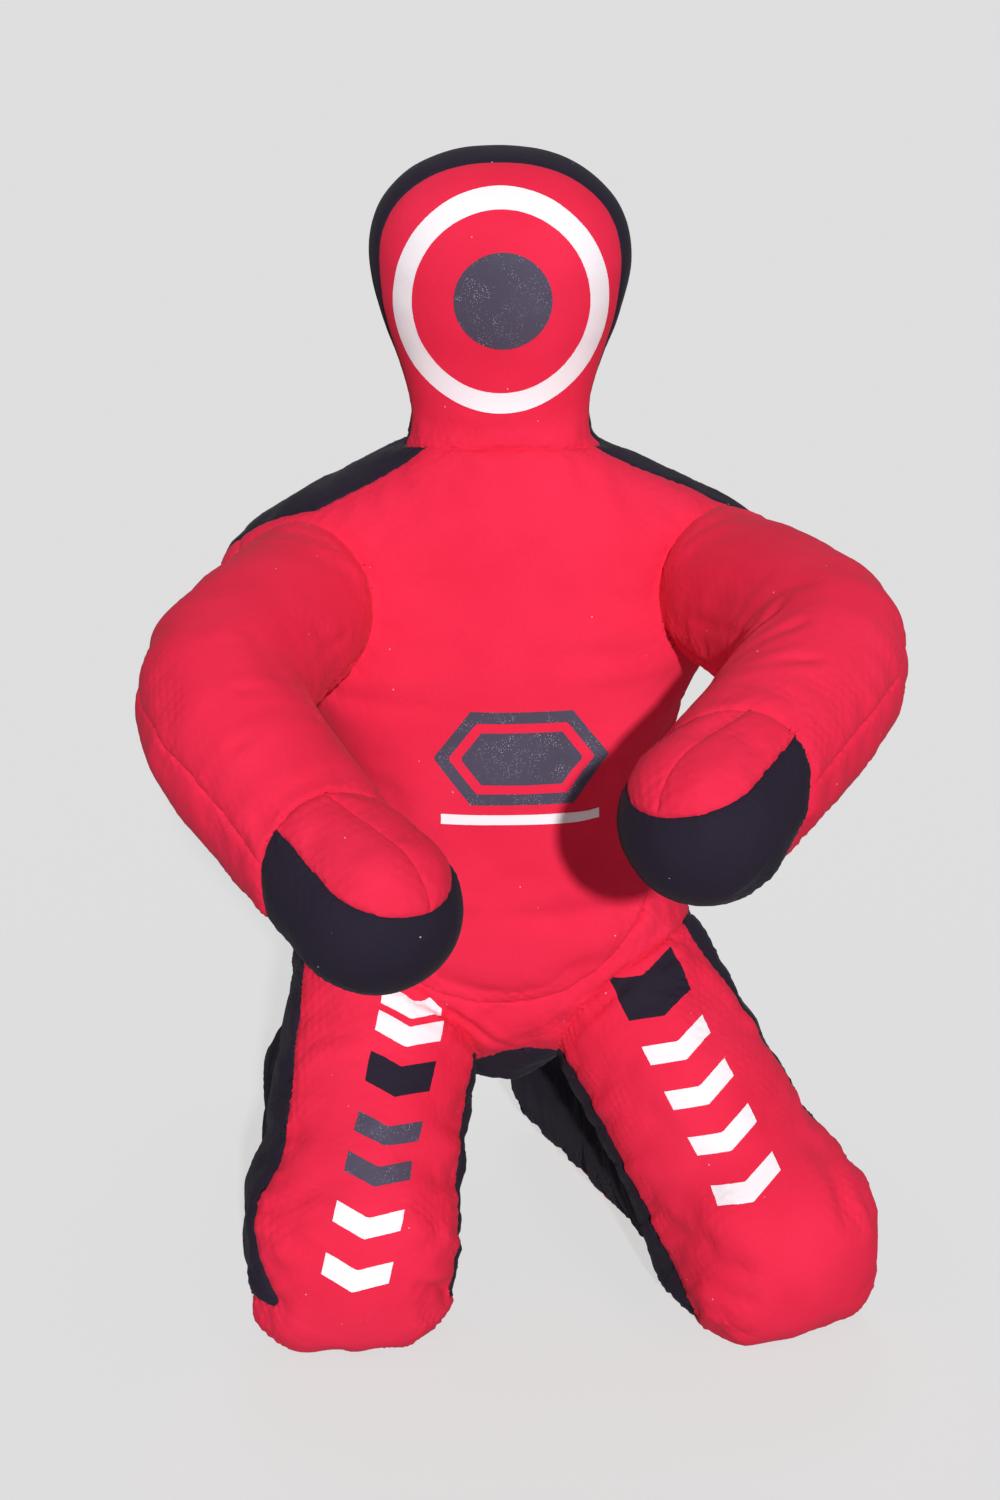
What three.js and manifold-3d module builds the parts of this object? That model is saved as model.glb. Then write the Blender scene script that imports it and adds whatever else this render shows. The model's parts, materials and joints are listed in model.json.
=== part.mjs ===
// A kneeling grappling dummy: a canvas cover sewn from red front panels and black back panels, packed with textile
// filling. It kneels on its shins with its arms reaching forward. Units are millimetres, +Z is up, the dummy looks
// along -Y, and its own right side is at -X. The origin is on the floor, below the middle of the whole dummy.
//
// Each limb is a packed tube between two joints. At each joint one piece ends in a ball around the joint's centre,
// and its neighbour is hollowed to clear that ball. The inside of a bend is mitred so that the tubes can fold.
import * as THREE from 'three';
import { mergeVertices } from 'three/addons/utils/BufferGeometryUtils.js';
import Module from 'manifold-3d';

const wasm = await Module();
wasm.setup();

// ---------------------------------------------------------------- driving dimensions
const COVER = 2; // canvas with its lining
const PLAY = 0.5; // between the cover and the filling
const FILLED = COVER + PLAY; // how far the filling lies below the outer surface
const SEAM_GAP = 0.8; // between two panels at a seam
const JOINT_GAP = 4; // round a ball, in the piece that is hollowed for it
const PRINT_LIFT = 0.3; // from the cover up to the underside of a print
const PRINT_TOP = 0.9; // from the cover up to the top of a print
const FAR = 3000; // longer than the dummy, for cutting boxes

const v3 = (x, y, z) => new THREE.Vector3(x, y, z);
const X_AXIS = v3(1, 0, 0);
const Y_AXIS = v3(0, 1, 0);
const FORWARD = v3(0, -1, 0);
const UP = v3(0, 0, 1);

const NECK = v3(0, 0, 950);
const CROTCH_SEAM = 262; // the black gusset lies below this height

// Joint centres, and the tube's radius at each of them.
const ARMS = {
  right: {
    shoulder: v3(-209, -100, 773), elbow: v3(-266, -280, 736),
    wrist: v3(-181, -388, 642), hand: v3(-112, -468, 600),
  },
  left: {
    shoulder: v3(245, -100, 789), elbow: v3(307, -270, 778),
    wrist: v3(240, -408, 727), hand: v3(181, -490, 695),
  },
};
const ARM_RADIUS = 80;
const WRIST_RADIUS = 75;
const HAND_RADIUS = 74;
const HAND_SIDE_WIDTH = 34; // of the narrow panel between the back of the hand and the palm
const PALM_WAY = v3(0, -0.45, -0.9);
const SHOULDER_CLEARANCE = 15; // lets the raised arm pass the edge of the shoulder
const ELBOW_FOLD = 30; // degrees that the elbow can bend further than it does at rest

const LEGS = {
  right: { hip: v3(-125, -20, 328), knee: v3(-160, -192, 94), foot: v3(-209, 256, 77) },
  left: { hip: v3(135, -20, 328), knee: v3(289, -166, 94), foot: v3(98, 252, 77) },
};
const HIP_RADIUS = 103;
const KNEE_RADIUS = 102;
const CALF_RADIUS = 96;
const FOOT_RADIUS = 80;
const HIP_SWING = { back: 30, forward: 20 }; // degrees from rest

// The torso's outline from crotch to neck: height, half width, and where its front and back lie.
const TORSO = [
  { z: 240, half: 70, front: -50, back: 66 },
  { z: 285, half: 170, front: -95, back: 112 },
  { z: 340, half: 218, front: -120, back: 128 },
  { z: 400, half: 207, front: -130, back: 130 },
  { z: 458, half: 174, front: -130, back: 120 },
  { z: 520, half: 163, front: -128, back: 120 },
  { z: 605, half: 188, front: -132, back: 120 },
  { z: 690, half: 246, front: -130, back: 120 },
  { z: 745, half: 289, front: -124, back: 120 },
  { z: 795, half: 294, front: -114, back: 120 },
  { z: 838, half: 264, front: -106, back: 114 },
  { z: 872, half: 209, front: -98, back: 106 },
  { z: 905, half: 140, front: -91, back: 98 },
  { z: 932, half: 102, front: -86, back: 92 },
];
const TORSO_MIDDLE = v3(0, 0, 586);
const TORSO_HALF_SIZE = v3(294, 130, 346);
const TORSO_SIDES = 20;
const TORSO_SQUARENESS = 2.4;
const TUBE_SIDES = 16;
const END_STEPS = 3; // rings in a tube's round end
const BALL_STEP = 0.6; // how far a joint's ball lies below the tube it ends

// The head's outline above the neck: height above the neck joint, and half width.
const HEAD = [
  [0, 92], [35, 96], [70, 107], [105, 120], [140, 129], [172, 132], [204, 127], [234, 112], [258, 83], [272, 45],
];
const NECK_HALF_WIDTH = 92;
const NECK_HALF_DEPTH = 75;
const HEAD_TOP = 277; // above the neck joint
const HEAD_MIDDLE = 131; // above the neck joint
const HEAD_HALF_SIZE = v3(132, 107, 148);

const TARGET_CENTRE = v3(3, 0, 1091);
const TARGET = { ringOuter: 106, ringInner: 87, dot: 47 };
const EMBLEM_CENTRE = v3(22, 0, 632);
const EMBLEM = { halfWidth: 88, halfHeight: 46, line: 12, gap: 11 };
const BAR = { drop: 66, width: 150, height: 11 };

const ZIP = { top: 790, length: 270, tape: 32, chain: 6 };

// ---------------------------------------------------------------- materials
const material = (color, roughness, metalness = 0) =>
  new THREE.MeshStandardMaterial({ color, roughness, metalness, flatShading: true });
const RED = material(0xe2283f, 0.85);
const BLACK = material(0x2c2834, 0.85);
const PRINT_WHITE = material(0xf6f2f6, 0.45);
const PRINT_BLACK = material(0x3c3848, 0.35);
const FILLING = material(0xa8a59c, 0.95);
const TAPE = material(0x201e26, 0.9);
const METAL = material(0x6a6a70, 0.35, 0.9);

// ---------------------------------------------------------------- solids
// A closed geometry as a manifold-3d solid, with its faces pointing out.
function solid(geometry, matrix = new THREE.Matrix4()) {
  const loose = geometry.index ? geometry.toNonIndexed() : geometry.clone();
  loose.deleteAttribute('normal');
  loose.deleteAttribute('uv');
  const merged = mergeVertices(loose.applyMatrix4(matrix), 1e-3);
  const index = merged.index.array;
  const triVerts = [];
  for (let i = 0; i < index.length; i += 3) {
    const [a, b, c] = [index[i], index[i + 1], index[i + 2]];
    if (a !== b && b !== c && c !== a) triVerts.push(a, b, c);
  }
  const build = (order) =>
    new wasm.Manifold(
      new wasm.Mesh({
        numProp: 3,
        vertProperties: merged.attributes.position.array,
        triVerts: new Uint32Array(order),
      }),
    );
  const made = build(triVerts);
  return made.volume() > 0 ? made : build(triVerts.reverse());
}

const dummy = new THREE.Group();

// Adds a solid to the dummy as one named mesh.
function addPiece(name, made, look) {
  const { vertProperties, triVerts } = made.getMesh();
  const geometry = new THREE.BufferGeometry();
  geometry.setAttribute('position', new THREE.BufferAttribute(new Float32Array(vertProperties), 3));
  geometry.setIndex(new THREE.BufferAttribute(new Uint32Array(triVerts), 1));
  geometry.computeVertexNormals();
  const mesh = new THREE.Mesh(geometry, look);
  mesh.name = name;
  dummy.add(mesh);
}

const towards = (from, to) => to.clone().sub(from);
const at = (point) => new THREE.Matrix4().makeTranslation(point.x, point.y, point.z);

function ball(centre, radius, widthX = radius) {
  const matrix = at(centre).scale(v3(widthX, radius, radius));
  return solid(new THREE.SphereGeometry(1, 16, 8), matrix);
}

// A box with its lowest corner at low and its highest at high.
function box(low, high) {
  const size = high.clone().sub(low);
  const middle = low.clone().add(high).multiplyScalar(0.5);
  return solid(new THREE.BoxGeometry(size.x, size.y, size.z), at(middle));
}

// Everything on the normal's side of a plane through point.
function halfSpace(point, normal) {
  const turn = new THREE.Quaternion().setFromUnitVectors(UP, normal.clone().normalize());
  const middle = normal.clone().setLength(FAR / 2).add(point);
  const matrix = new THREE.Matrix4().compose(middle, turn, v3(1, 1, 1));
  return solid(new THREE.BoxGeometry(FAR, FAR, FAR), matrix);
}

// A closed loft through rings of points, with a tip at each end.
function loft(firstTip, rings, lastTip) {
  const sides = rings[0].length;
  const points = [firstTip, ...rings.flat(), lastTip];
  const last = points.length - 1;
  const faces = [];
  for (let i = 0; i < sides; i += 1) {
    const next = (i + 1) % sides;
    faces.push(0, 1 + next, 1 + i, last, last - sides + i, last - sides + next);
    for (let ring = 0; ring + 1 < rings.length; ring += 1) {
      const [a, b] = [1 + ring * sides + i, 1 + ring * sides + next];
      faces.push(a, b, b + sides, a, b + sides, a + sides);
    }
  }
  const geometry = new THREE.BufferGeometry().setFromPoints(points);
  geometry.setIndex(faces);
  return geometry;
}

// A packed tube with round ends along a line of points, shrunk by inset. Where it reaches the floor it is flat.
function tube(line, radii, inset) {
  const ways = line.slice(1).map((point, i) => towards(line[i], point).normalize());
  const across = new THREE.Vector3().crossVectors(ways[0], Math.abs(ways[0].z) > 0.7 ? X_AXIS : UP).normalize();
  const ring = (centre, way, radius) => {
    const u = across.clone().projectOnPlane(way).normalize();
    const w = new THREE.Vector3().crossVectors(way, u);
    return Array.from({ length: TUBE_SIDES }, (_, i) => {
      const angle = (2 * Math.PI * i) / TUBE_SIDES;
      const out = u.clone().multiplyScalar(Math.cos(angle)).addScaledVector(w, Math.sin(angle));
      return centre.clone().addScaledVector(out, radius);
    });
  };
  const round = (centre, way, radius, turns) =>
    turns.map((turn) => {
      const angle = (turn * Math.PI) / 2 / END_STEPS;
      return ring(centre.clone().addScaledVector(way, radius * Math.sin(angle)), way, radius * Math.cos(angle));
    });
  const size = radii.map((radius) => radius - inset);
  const steps = Array.from({ length: END_STEPS }, (_, i) => i);
  const [firstWay, lastWay] = [ways[0], ways.at(-1)];
  const middles = line.slice(1, -1).map((point, i) => ring(point, ways[i].clone().add(ways[i + 1]).normalize(), size[i + 1]));
  const geometry = loft(
    line[0].clone().addScaledVector(firstWay, -size[0]),
    [
      ...round(line[0], firstWay, size[0], steps.map((i) => -i).reverse()),
      ...middles,
      ...round(line.at(-1), lastWay, size.at(-1), steps),
    ],
    line.at(-1).clone().addScaledVector(lastWay, size.at(-1)),
  );
  return solid(geometry).intersect(halfSpace(v3(0, 0, inset), UP));
}

// The torso as one packed shape, shrunk by inset: rounded level sections joined from crotch to neck.
function torso(inset) {
  const bulge = (value) => Math.sign(value) * Math.abs(value) ** (2 / TORSO_SQUARENESS);
  const middleOf = ({ front, back, z }) => v3(0, (front + back) / 2, z);
  const rings = TORSO.map(({ z, half, front, back }) =>
    Array.from({ length: TORSO_SIDES }, (_, i) => {
      const angle = (2 * Math.PI * i) / TORSO_SIDES;
      const y = (front + back) / 2 + ((back - front) / 2) * bulge(Math.sin(angle));
      return v3(half * bulge(Math.cos(angle)), y, z);
    }),
  );
  const size = TORSO_HALF_SIZE;
  const matrix = at(TORSO_MIDDLE)
    .scale(v3(1 - inset / size.x, 1 - inset / size.y, 1 - inset / size.z))
    .multiply(at(TORSO_MIDDLE.clone().negate()));
  return solid(loft(middleOf(TORSO[0]), rings, middleOf(TORSO.at(-1))), matrix);
}

// The head and neck, shrunk by inset. Below the joint they end in a rounded neck that is a true circle about X.
function head(inset) {
  const profile = [];
  for (let i = 0; i < END_STEPS; i += 1) {
    const angle = (Math.PI / 2) * (i / END_STEPS);
    profile.push(new THREE.Vector2(NECK_HALF_WIDTH * Math.sin(angle), -NECK_HALF_DEPTH * Math.cos(angle)));
  }
  HEAD.forEach(([height, half]) => profile.push(new THREE.Vector2(half, height)));
  profile.push(new THREE.Vector2(0, HEAD_TOP));
  const size = HEAD_HALF_SIZE;
  const middle = v3(0, HEAD_MIDDLE, 0);
  const shrink = at(middle)
    .scale(v3(1 - inset / size.x, 1 - inset / size.z, 1 - inset / size.y))
    .multiply(at(middle.clone().negate()));
  const depth = NECK_HALF_DEPTH / NECK_HALF_WIDTH;
  const matrix = at(NECK)
    .multiply(new THREE.Matrix4().makeRotationX(Math.PI / 2))
    .multiply(new THREE.Matrix4().makeScale(1, 1, depth))
    .multiply(shrink);
  return solid(new THREE.LatheGeometry(profile, TORSO_SIDES), matrix);
}

// The cover of a packed shape, and its filling. shape(inset) gives the shape shrunk by inset.
const coverOf = (shape) => shape(0).subtract(shape(COVER));
const fillingOf = (shape) => shape(FILLED);

// The part of a cover on one side of a seam.
function panel(cover, seam, side) {
  const edge = side.clone().setLength(SEAM_GAP / 2).add(seam);
  return cover.intersect(halfSpace(edge, side));
}

// ---------------------------------------------------------------- joints
// The inside of a bend: the half space that a tube is mitred to, so that it folds until it meets its neighbour at angle.
function mitre({ centre, along, neighbour, angle }, inset = 0) {
  const bendAxis = new THREE.Vector3().crossVectors(along, neighbour).normalize();
  const edge = along.clone().normalize().applyAxisAngle(bendAxis, THREE.MathUtils.degToRad(angle / 2 - 0.6));
  const cross = new THREE.Vector3().crossVectors(edge, bendAxis);
  const inward = cross.dot(along) > 0 ? cross : cross.negate();
  return halfSpace(centre.clone().addScaledVector(inward, inset), inward);
}

const angleBetween = (a, b) => THREE.MathUtils.radToDeg(a.angleTo(b));

// The limb above a bend: a tube that is mitred at its far end, with the joint's ball on it.
function bentLimb(line, radii, neighbour, angle) {
  const centre = line.at(-1);
  const along = towards(centre, line.at(-2));
  const reach = centre.clone().addScaledVector(along, 0.001);
  return (inset) =>
    tube(line, radii, inset)
      .intersect(mitre({ centre, along, neighbour, angle }, inset))
      .add(tube([reach, centre], [radii.at(-1), radii.at(-1)], inset + BALL_STEP));
}

// What is left of the limb below a bend once the joint's ball and the mitre are cut from it.
function sleeve(centre, radius, along, neighbour, angle) {
  const room = ball(centre, radius + JOINT_GAP);
  const kept = mitre({ centre, along, neighbour, angle }).intersect(halfSpace(centre, along));
  return (made) => made.intersect(kept).subtract(room);
}

// The space that a swinging thigh needs in the pelvis: a thick fan about an axis along X.
function hipFan({ hip, knee }) {
  const rest = Math.atan2(knee.z - hip.z, knee.y - hip.y);
  const radians = THREE.MathUtils.degToRad;
  const forward = rest - radians(HIP_SWING.forward + 2);
  const back = rest + radians(HIP_SWING.back + 2);
  const radius = HIP_RADIUS + JOINT_GAP;
  const reach = 400;
  const side = (angle, turn) => [radius * Math.cos(angle + turn), radius * Math.sin(angle + turn)];
  const out = (angle, turn) => {
    const [y, z] = side(angle, turn);
    return [y + reach * Math.cos(angle), z + reach * Math.sin(angle)];
  };
  const outline = new THREE.Shape();
  outline.moveTo(...out(back, Math.PI / 2));
  outline.lineTo(...side(back, Math.PI / 2));
  outline.absarc(0, 0, radius, back + Math.PI / 2, forward + 1.5 * Math.PI, false);
  outline.lineTo(...out(forward, -Math.PI / 2));
  const width = 2 * radius;
  const geometry = new THREE.ExtrudeGeometry(outline, { depth: width, bevelEnabled: false, curveSegments: 10 });
  const matrix = new THREE.Matrix4()
    .makeBasis(v3(0, 1, 0), v3(0, 0, 1), v3(1, 0, 0))
    .setPosition(hip.x - width / 2, hip.y, hip.z);
  return solid(geometry, matrix);
}

// A print on a cover: the part of a thin film over the shape that lies inside a prism.
const print = (shape, prism) => shape(-PRINT_TOP).subtract(shape(-PRINT_LIFT)).intersect(prism);

// A flat outline pushed forward from centre. right and up say how the outline lies.
function prism(outline, centre, right, up, depth) {
  const geometry = new THREE.ExtrudeGeometry(outline, { depth, bevelEnabled: false, curveSegments: 9 });
  const ahead = new THREE.Vector3().crossVectors(right, up).normalize();
  return solid(geometry, new THREE.Matrix4().makeBasis(right, up, ahead).setPosition(centre));
}

// ---------------------------------------------------------------- torso
function addTorso() {
  const neckGap = 5;
  const rooms = [
    ball(NECK, NECK_HALF_DEPTH + neckGap, NECK_HALF_WIDTH + neckGap),
    ball(ARMS.right.shoulder, ARM_RADIUS + SHOULDER_CLEARANCE),
    ball(ARMS.left.shoulder, ARM_RADIUS + SHOULDER_CLEARANCE),
    hipFan(LEGS.right),
    hipFan(LEGS.left),
  ];
  const free = (made) => rooms.reduce((left, room) => left.subtract(room), made);
  const cover = free(coverOf(torso));
  const upper = cover.intersect(halfSpace(v3(0, 0, CROTCH_SEAM + SEAM_GAP), UP));
  const seam = v3(0, 4, 0);
  const slot = box(v3(-ZIP.tape / 2 - 1, 0, ZIP.top - ZIP.length - 2), v3(ZIP.tape / 2 + 1, 200, ZIP.top + 2));
  const back = panel(upper, seam, Y_AXIS).subtract(slot);
  addPiece('torso_filling', free(fillingOf(torso)), FILLING);
  addPiece('torso_front_panel', panel(upper, seam, FORWARD), RED);
  addPiece('torso_back_panel_right', panel(back, v3(0, 0, 0), v3(-1, 0, 0)), BLACK);
  addPiece('torso_back_panel_left', panel(back, v3(0, 0, 0), X_AXIS), BLACK);
  addPiece('crotch_gusset', cover.intersect(halfSpace(v3(0, 0, CROTCH_SEAM), v3(0, 0, -1))), BLACK);
}

// ---------------------------------------------------------------- zip in the back
function addZip() {
  const skin = TORSO.find(({ z }) => z === 690).back; // the back is straight along the zip
  const low = ZIP.top - ZIP.length;
  const strip = (half, yLow, yHigh, zLow, zHigh) => box(v3(-half, yLow, zLow), v3(half, yHigh, zHigh));
  const tapeFace = skin - 0.6;
  addPiece('zip_tape', strip(ZIP.tape / 2, skin - COVER, tapeFace, low, ZIP.top), TAPE);
  const chainFace = tapeFace + 0.3 + 2.2;
  addPiece('zip_chain', strip(ZIP.chain / 2, tapeFace + 0.3, chainFace, low + 4, ZIP.top - 4), METAL);

  const sliderTop = ZIP.top - 10;
  const sliderLength = 18;
  const plate = { half: 6.5, under: chainFace + 0.4, over: chainFace + 2.6 };
  const cheek = (x) => box(v3(x - 1.2, tapeFace + 0.6, sliderTop - sliderLength), v3(x + 1.2, plate.over, sliderTop));
  const bridgeFoot = (z) => box(v3(-1.5, plate.over - 0.5, z), v3(1.5, plate.over + 4.2, z + 2));
  const slider = strip(plate.half, plate.under, plate.over, sliderTop - sliderLength, sliderTop)
    .add(cheek(-5.3))
    .add(cheek(5.3))
    .add(bridgeFoot(sliderTop - 14))
    .add(bridgeFoot(sliderTop - 4))
    .add(box(v3(-1.5, plate.over + 3, sliderTop - 14), v3(1.5, plate.over + 4.6, sliderTop - 2)));
  addPiece('zip_slider', slider, METAL);

  // The pull's top bar lies under the bridge, and its eye lets the bridge's lower foot through.
  const pull = { half: 5, thick: 1.6, bar: sliderTop - 6, eye: sliderTop - 15.5, low: sliderTop - 46 };
  const face = plate.over + 0.7;
  const body = strip(pull.half, face, face + pull.thick, pull.low, pull.bar);
  const eye = strip(2.4, face - 1, face + 3, pull.eye, pull.bar - pull.thick);
  addPiece('zip_pull', body.subtract(eye), METAL);
}

// ---------------------------------------------------------------- head
function addHead() {
  const cover = coverOf(head);
  const seam = NECK.clone().add(v3(0, -8, 0));
  addPiece('head_filling', fillingOf(head), FILLING);
  addPiece('head_front_panel', panel(cover, seam, FORWARD), RED);
  addPiece('head_back_panel', panel(cover, seam, Y_AXIS), BLACK);
  const ring = new THREE.Shape().absarc(0, 0, TARGET.ringOuter, 0, 2 * Math.PI, false);
  ring.holes.push(new THREE.Path().absarc(0, 0, TARGET.ringInner, 0, 2 * Math.PI, true));
  const dot = new THREE.Shape().absarc(0, 0, TARGET.dot, 0, 2 * Math.PI, false);
  const onFace = (outline) => prism(outline, TARGET_CENTRE, X_AXIS, UP, 200);
  addPiece('target_ring', print(head, onFace(ring)), PRINT_WHITE);
  addPiece('target_dot', print(head, onFace(dot)), PRINT_BLACK);
}

// ---------------------------------------------------------------- belly print
function hexagon(halfWidth, halfHeight) {
  const shoulder = halfWidth - halfHeight * 0.7;
  return [
    [halfWidth, 0], [shoulder, halfHeight], [-shoulder, halfHeight],
    [-halfWidth, 0], [-shoulder, -halfHeight], [shoulder, -halfHeight],
  ].map(([x, y]) => new THREE.Vector2(x, y));
}

function addBellyPrint() {
  const { halfWidth, halfHeight, line, gap } = EMBLEM;
  const outline = new THREE.Shape(hexagon(halfWidth, halfHeight));
  outline.holes.push(new THREE.Path(hexagon(halfWidth - 1.4 * line, halfHeight - line)));
  const inner = line + gap;
  const core = new THREE.Shape(hexagon(halfWidth - 1.6 * inner, halfHeight - inner));
  const bar = new THREE.Shape(
    [[-1, -1], [1, -1], [1, 1], [-1, 1]].map(([x, y]) => new THREE.Vector2((x * BAR.width) / 2, (y * BAR.height) / 2)),
  );
  const onBelly = (shape, drop = 0) => prism(shape, EMBLEM_CENTRE.clone().add(v3(0, 0, -drop)), X_AXIS, UP, 300);
  addPiece('belly_emblem_outline', print(torso, onBelly(outline)), PRINT_BLACK);
  addPiece('belly_emblem_core', print(torso, onBelly(core)), PRINT_BLACK);
  addPiece('belly_bar', print(torso, onBelly(bar, BAR.drop)), PRINT_WHITE);
}

// ---------------------------------------------------------------- arms
function addArm(side, { shoulder, elbow, wrist, hand }) {
  const toShoulder = towards(elbow, shoulder);
  const toWrist = towards(elbow, wrist);
  const folded = angleBetween(toShoulder, toWrist) - ELBOW_FOLD;
  const upper = bentLimb([shoulder, elbow], [ARM_RADIUS, ARM_RADIUS], toWrist, folded);
  const lower = (inset) => tube([elbow, wrist, hand], [ARM_RADIUS, WRIST_RADIUS, HAND_RADIUS], inset);
  const free = sleeve(elbow, ARM_RADIUS, toWrist, toShoulder, folded);

  const bendAxis = new THREE.Vector3().crossVectors(toShoulder, toWrist).normalize();
  const top = bendAxis.dot(UP) > 0 ? bendAxis : bendAxis.clone().negate();
  const under = top.clone().negate();
  const upperCover = coverOf(upper);
  addPiece(`upper_arm_filling_${side}`, fillingOf(upper), FILLING);
  addPiece(`upper_arm_top_panel_${side}`, panel(upperCover, elbow, top), RED);
  addPiece(`upper_arm_under_panel_${side}`, panel(upperCover, elbow, under), RED);

  const lowerCover = free(coverOf(lower));
  const handWay = towards(wrist, hand).normalize();
  const forearm = panel(lowerCover, wrist, handWay.clone().negate());
  const mitten = panel(lowerCover, wrist, handWay);
  addPiece(`forearm_filling_${side}`, free(fillingOf(lower)), FILLING);
  addPiece(`forearm_top_panel_${side}`, panel(forearm, wrist, top), RED);
  addPiece(`forearm_under_panel_${side}`, panel(forearm, wrist, under), RED);

  const palmSide = PALM_WAY.clone().projectOnPlane(handWay).normalize();
  const inwards = new THREE.Vector3().crossVectors(handWay, palmSide);
  inwards.multiplyScalar(side === 'right' ? Math.sign(inwards.x) : -Math.sign(inwards.x));
  const edge = wrist.clone().addScaledVector(inwards, HAND_RADIUS - HAND_SIDE_WIDTH);
  const backOfHand = panel(mitten, wrist, palmSide.clone().negate());
  addPiece(`hand_palm_panel_${side}`, panel(mitten, wrist, palmSide), BLACK);
  addPiece(`hand_top_panel_${side}`, panel(backOfHand, edge, inwards.clone().negate()), RED);
  addPiece(`hand_side_panel_${side}`, panel(backOfHand, edge, inwards), RED);
}

// ---------------------------------------------------------------- legs
function chevron(width, height, thick) {
  const half = width / 2;
  return new THREE.Shape(
    [[-half, 0], [0, height - thick], [half, 0], [half, thick], [0, height], [-half, thick]].map(
      ([x, y]) => new THREE.Vector2(x, y),
    ),
  );
}

function addLeg(side, { hip, knee, foot }, prints) {
  const toHip = towards(knee, hip);
  const toFoot = towards(knee, foot);
  const folded = angleBetween(toHip, toFoot);
  const thigh = bentLimb([hip, knee], [HIP_RADIUS, KNEE_RADIUS], toFoot, folded);
  const thighWay = toHip.clone().normalize();
  const front = FORWARD.clone().projectOnPlane(thighWay).normalize();
  const thighCover = coverOf(thigh);
  const seam = hip.clone().addScaledVector(front, 12);
  addPiece(`thigh_filling_${side}`, fillingOf(thigh), FILLING);
  addPiece(`thigh_front_panel_${side}`, panel(thighCover, seam, front), RED);
  addPiece(`thigh_back_panel_${side}`, panel(thighCover, seam, front.clone().negate()), BLACK);

  const shin = (inset) => tube([knee, foot], [CALF_RADIUS, FOOT_RADIUS], inset);
  const free = sleeve(knee, KNEE_RADIUS, toFoot, toHip, folded);
  const shinCover = free(coverOf(shin));
  const shinSeam = knee.clone().add(v3(0, 0, -22));
  const down = v3(0, 0, -1).projectOnPlane(toFoot.clone().normalize()).normalize();
  addPiece(`shin_filling_${side}`, free(fillingOf(shin)), FILLING);
  addPiece(`shin_front_panel_${side}`, panel(shinCover, shinSeam, down), RED);
  addPiece(`shin_back_panel_${side}`, panel(shinCover, shinSeam, down.clone().negate()), BLACK);

  // Chevrons down the front of the thigh.
  const thighTube = (inset) => tube([hip, knee], [HIP_RADIUS, KNEE_RADIUS], inset);
  const up = thighWay;
  const right = new THREE.Vector3().crossVectors(up, front).normalize();
  for (const [index, { down: drop, height, look }] of prints.entries()) {
    const centre = hip.clone().addScaledVector(up, -drop);
    const made = print(thighTube, prism(chevron(66, height, 22), centre, right, up, 200));
    addPiece(`thigh_chevron_${index + 1}_${side}`, made, look);
  }
}

addTorso();
addZip();
addHead();
addBellyPrint();
addArm('right', ARMS.right);
addArm('left', ARMS.left);
addLeg('right', LEGS.right, [
  { down: 60, height: 48, look: PRINT_WHITE },
  { down: 125, height: 48, look: PRINT_BLACK },
  { down: 190, height: 48, look: PRINT_BLACK },
  { down: 262, height: 54, look: PRINT_WHITE },
]);
addLeg('left', LEGS.left, [
  { down: 60, height: 48, look: PRINT_BLACK },
  { down: 140, height: 56, look: PRINT_WHITE },
  { down: 230, height: 56, look: PRINT_WHITE },
]);

// The origin is on the floor, below the middle of the whole dummy.
const extent = new THREE.Box3().setFromObject(dummy);
for (const piece of dummy.children) {
  piece.geometry.translate(-(extent.min.x + extent.max.x) / 2, -(extent.min.y + extent.max.y) / 2, 0);
}

export default dummy;
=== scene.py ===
"""Looks for the kneeling grappling dummy: one sewn skin over the body, cut into its panels along the seams.

The skin starts as the surface of a distance field built from round limbs, a torso of level sections and a
turned head. A cloth simulation presses it out between its seams. The seams are then cut in as real edges, the
panels are taken apart along them, and the hand and trunk panels ride on their CAD bodies.
All lengths are in metres. Work happens in the torso's frame, whose z axis passes through the neck joint, and
each finished piece is moved into the row frame.
"""

import json
import math

import bpy
import numpy as np
import openvdb
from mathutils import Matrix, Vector
from mathutils.kdtree import KDTree


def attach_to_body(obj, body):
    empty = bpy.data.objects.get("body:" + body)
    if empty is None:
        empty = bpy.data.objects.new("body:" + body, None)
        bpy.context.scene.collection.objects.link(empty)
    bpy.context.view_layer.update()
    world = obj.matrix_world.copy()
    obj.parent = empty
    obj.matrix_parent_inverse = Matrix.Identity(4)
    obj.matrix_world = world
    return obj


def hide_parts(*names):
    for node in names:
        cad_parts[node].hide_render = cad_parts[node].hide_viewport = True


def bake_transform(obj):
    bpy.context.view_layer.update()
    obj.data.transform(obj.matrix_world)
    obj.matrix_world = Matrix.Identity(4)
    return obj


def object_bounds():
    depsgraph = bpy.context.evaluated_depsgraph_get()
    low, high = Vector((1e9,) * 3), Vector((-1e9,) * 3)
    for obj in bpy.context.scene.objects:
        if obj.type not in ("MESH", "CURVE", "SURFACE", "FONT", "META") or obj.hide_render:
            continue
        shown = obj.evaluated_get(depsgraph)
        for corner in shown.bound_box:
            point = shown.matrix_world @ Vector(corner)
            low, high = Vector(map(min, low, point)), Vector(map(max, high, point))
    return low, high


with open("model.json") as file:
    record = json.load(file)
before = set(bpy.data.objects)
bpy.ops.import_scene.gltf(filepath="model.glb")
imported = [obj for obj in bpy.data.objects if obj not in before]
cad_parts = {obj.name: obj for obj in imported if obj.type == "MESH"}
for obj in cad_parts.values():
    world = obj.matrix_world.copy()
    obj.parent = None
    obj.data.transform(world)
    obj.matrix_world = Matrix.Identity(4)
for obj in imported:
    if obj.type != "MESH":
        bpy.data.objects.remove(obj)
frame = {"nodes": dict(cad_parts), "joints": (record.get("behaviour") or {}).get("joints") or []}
cad_low, cad_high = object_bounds()

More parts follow.
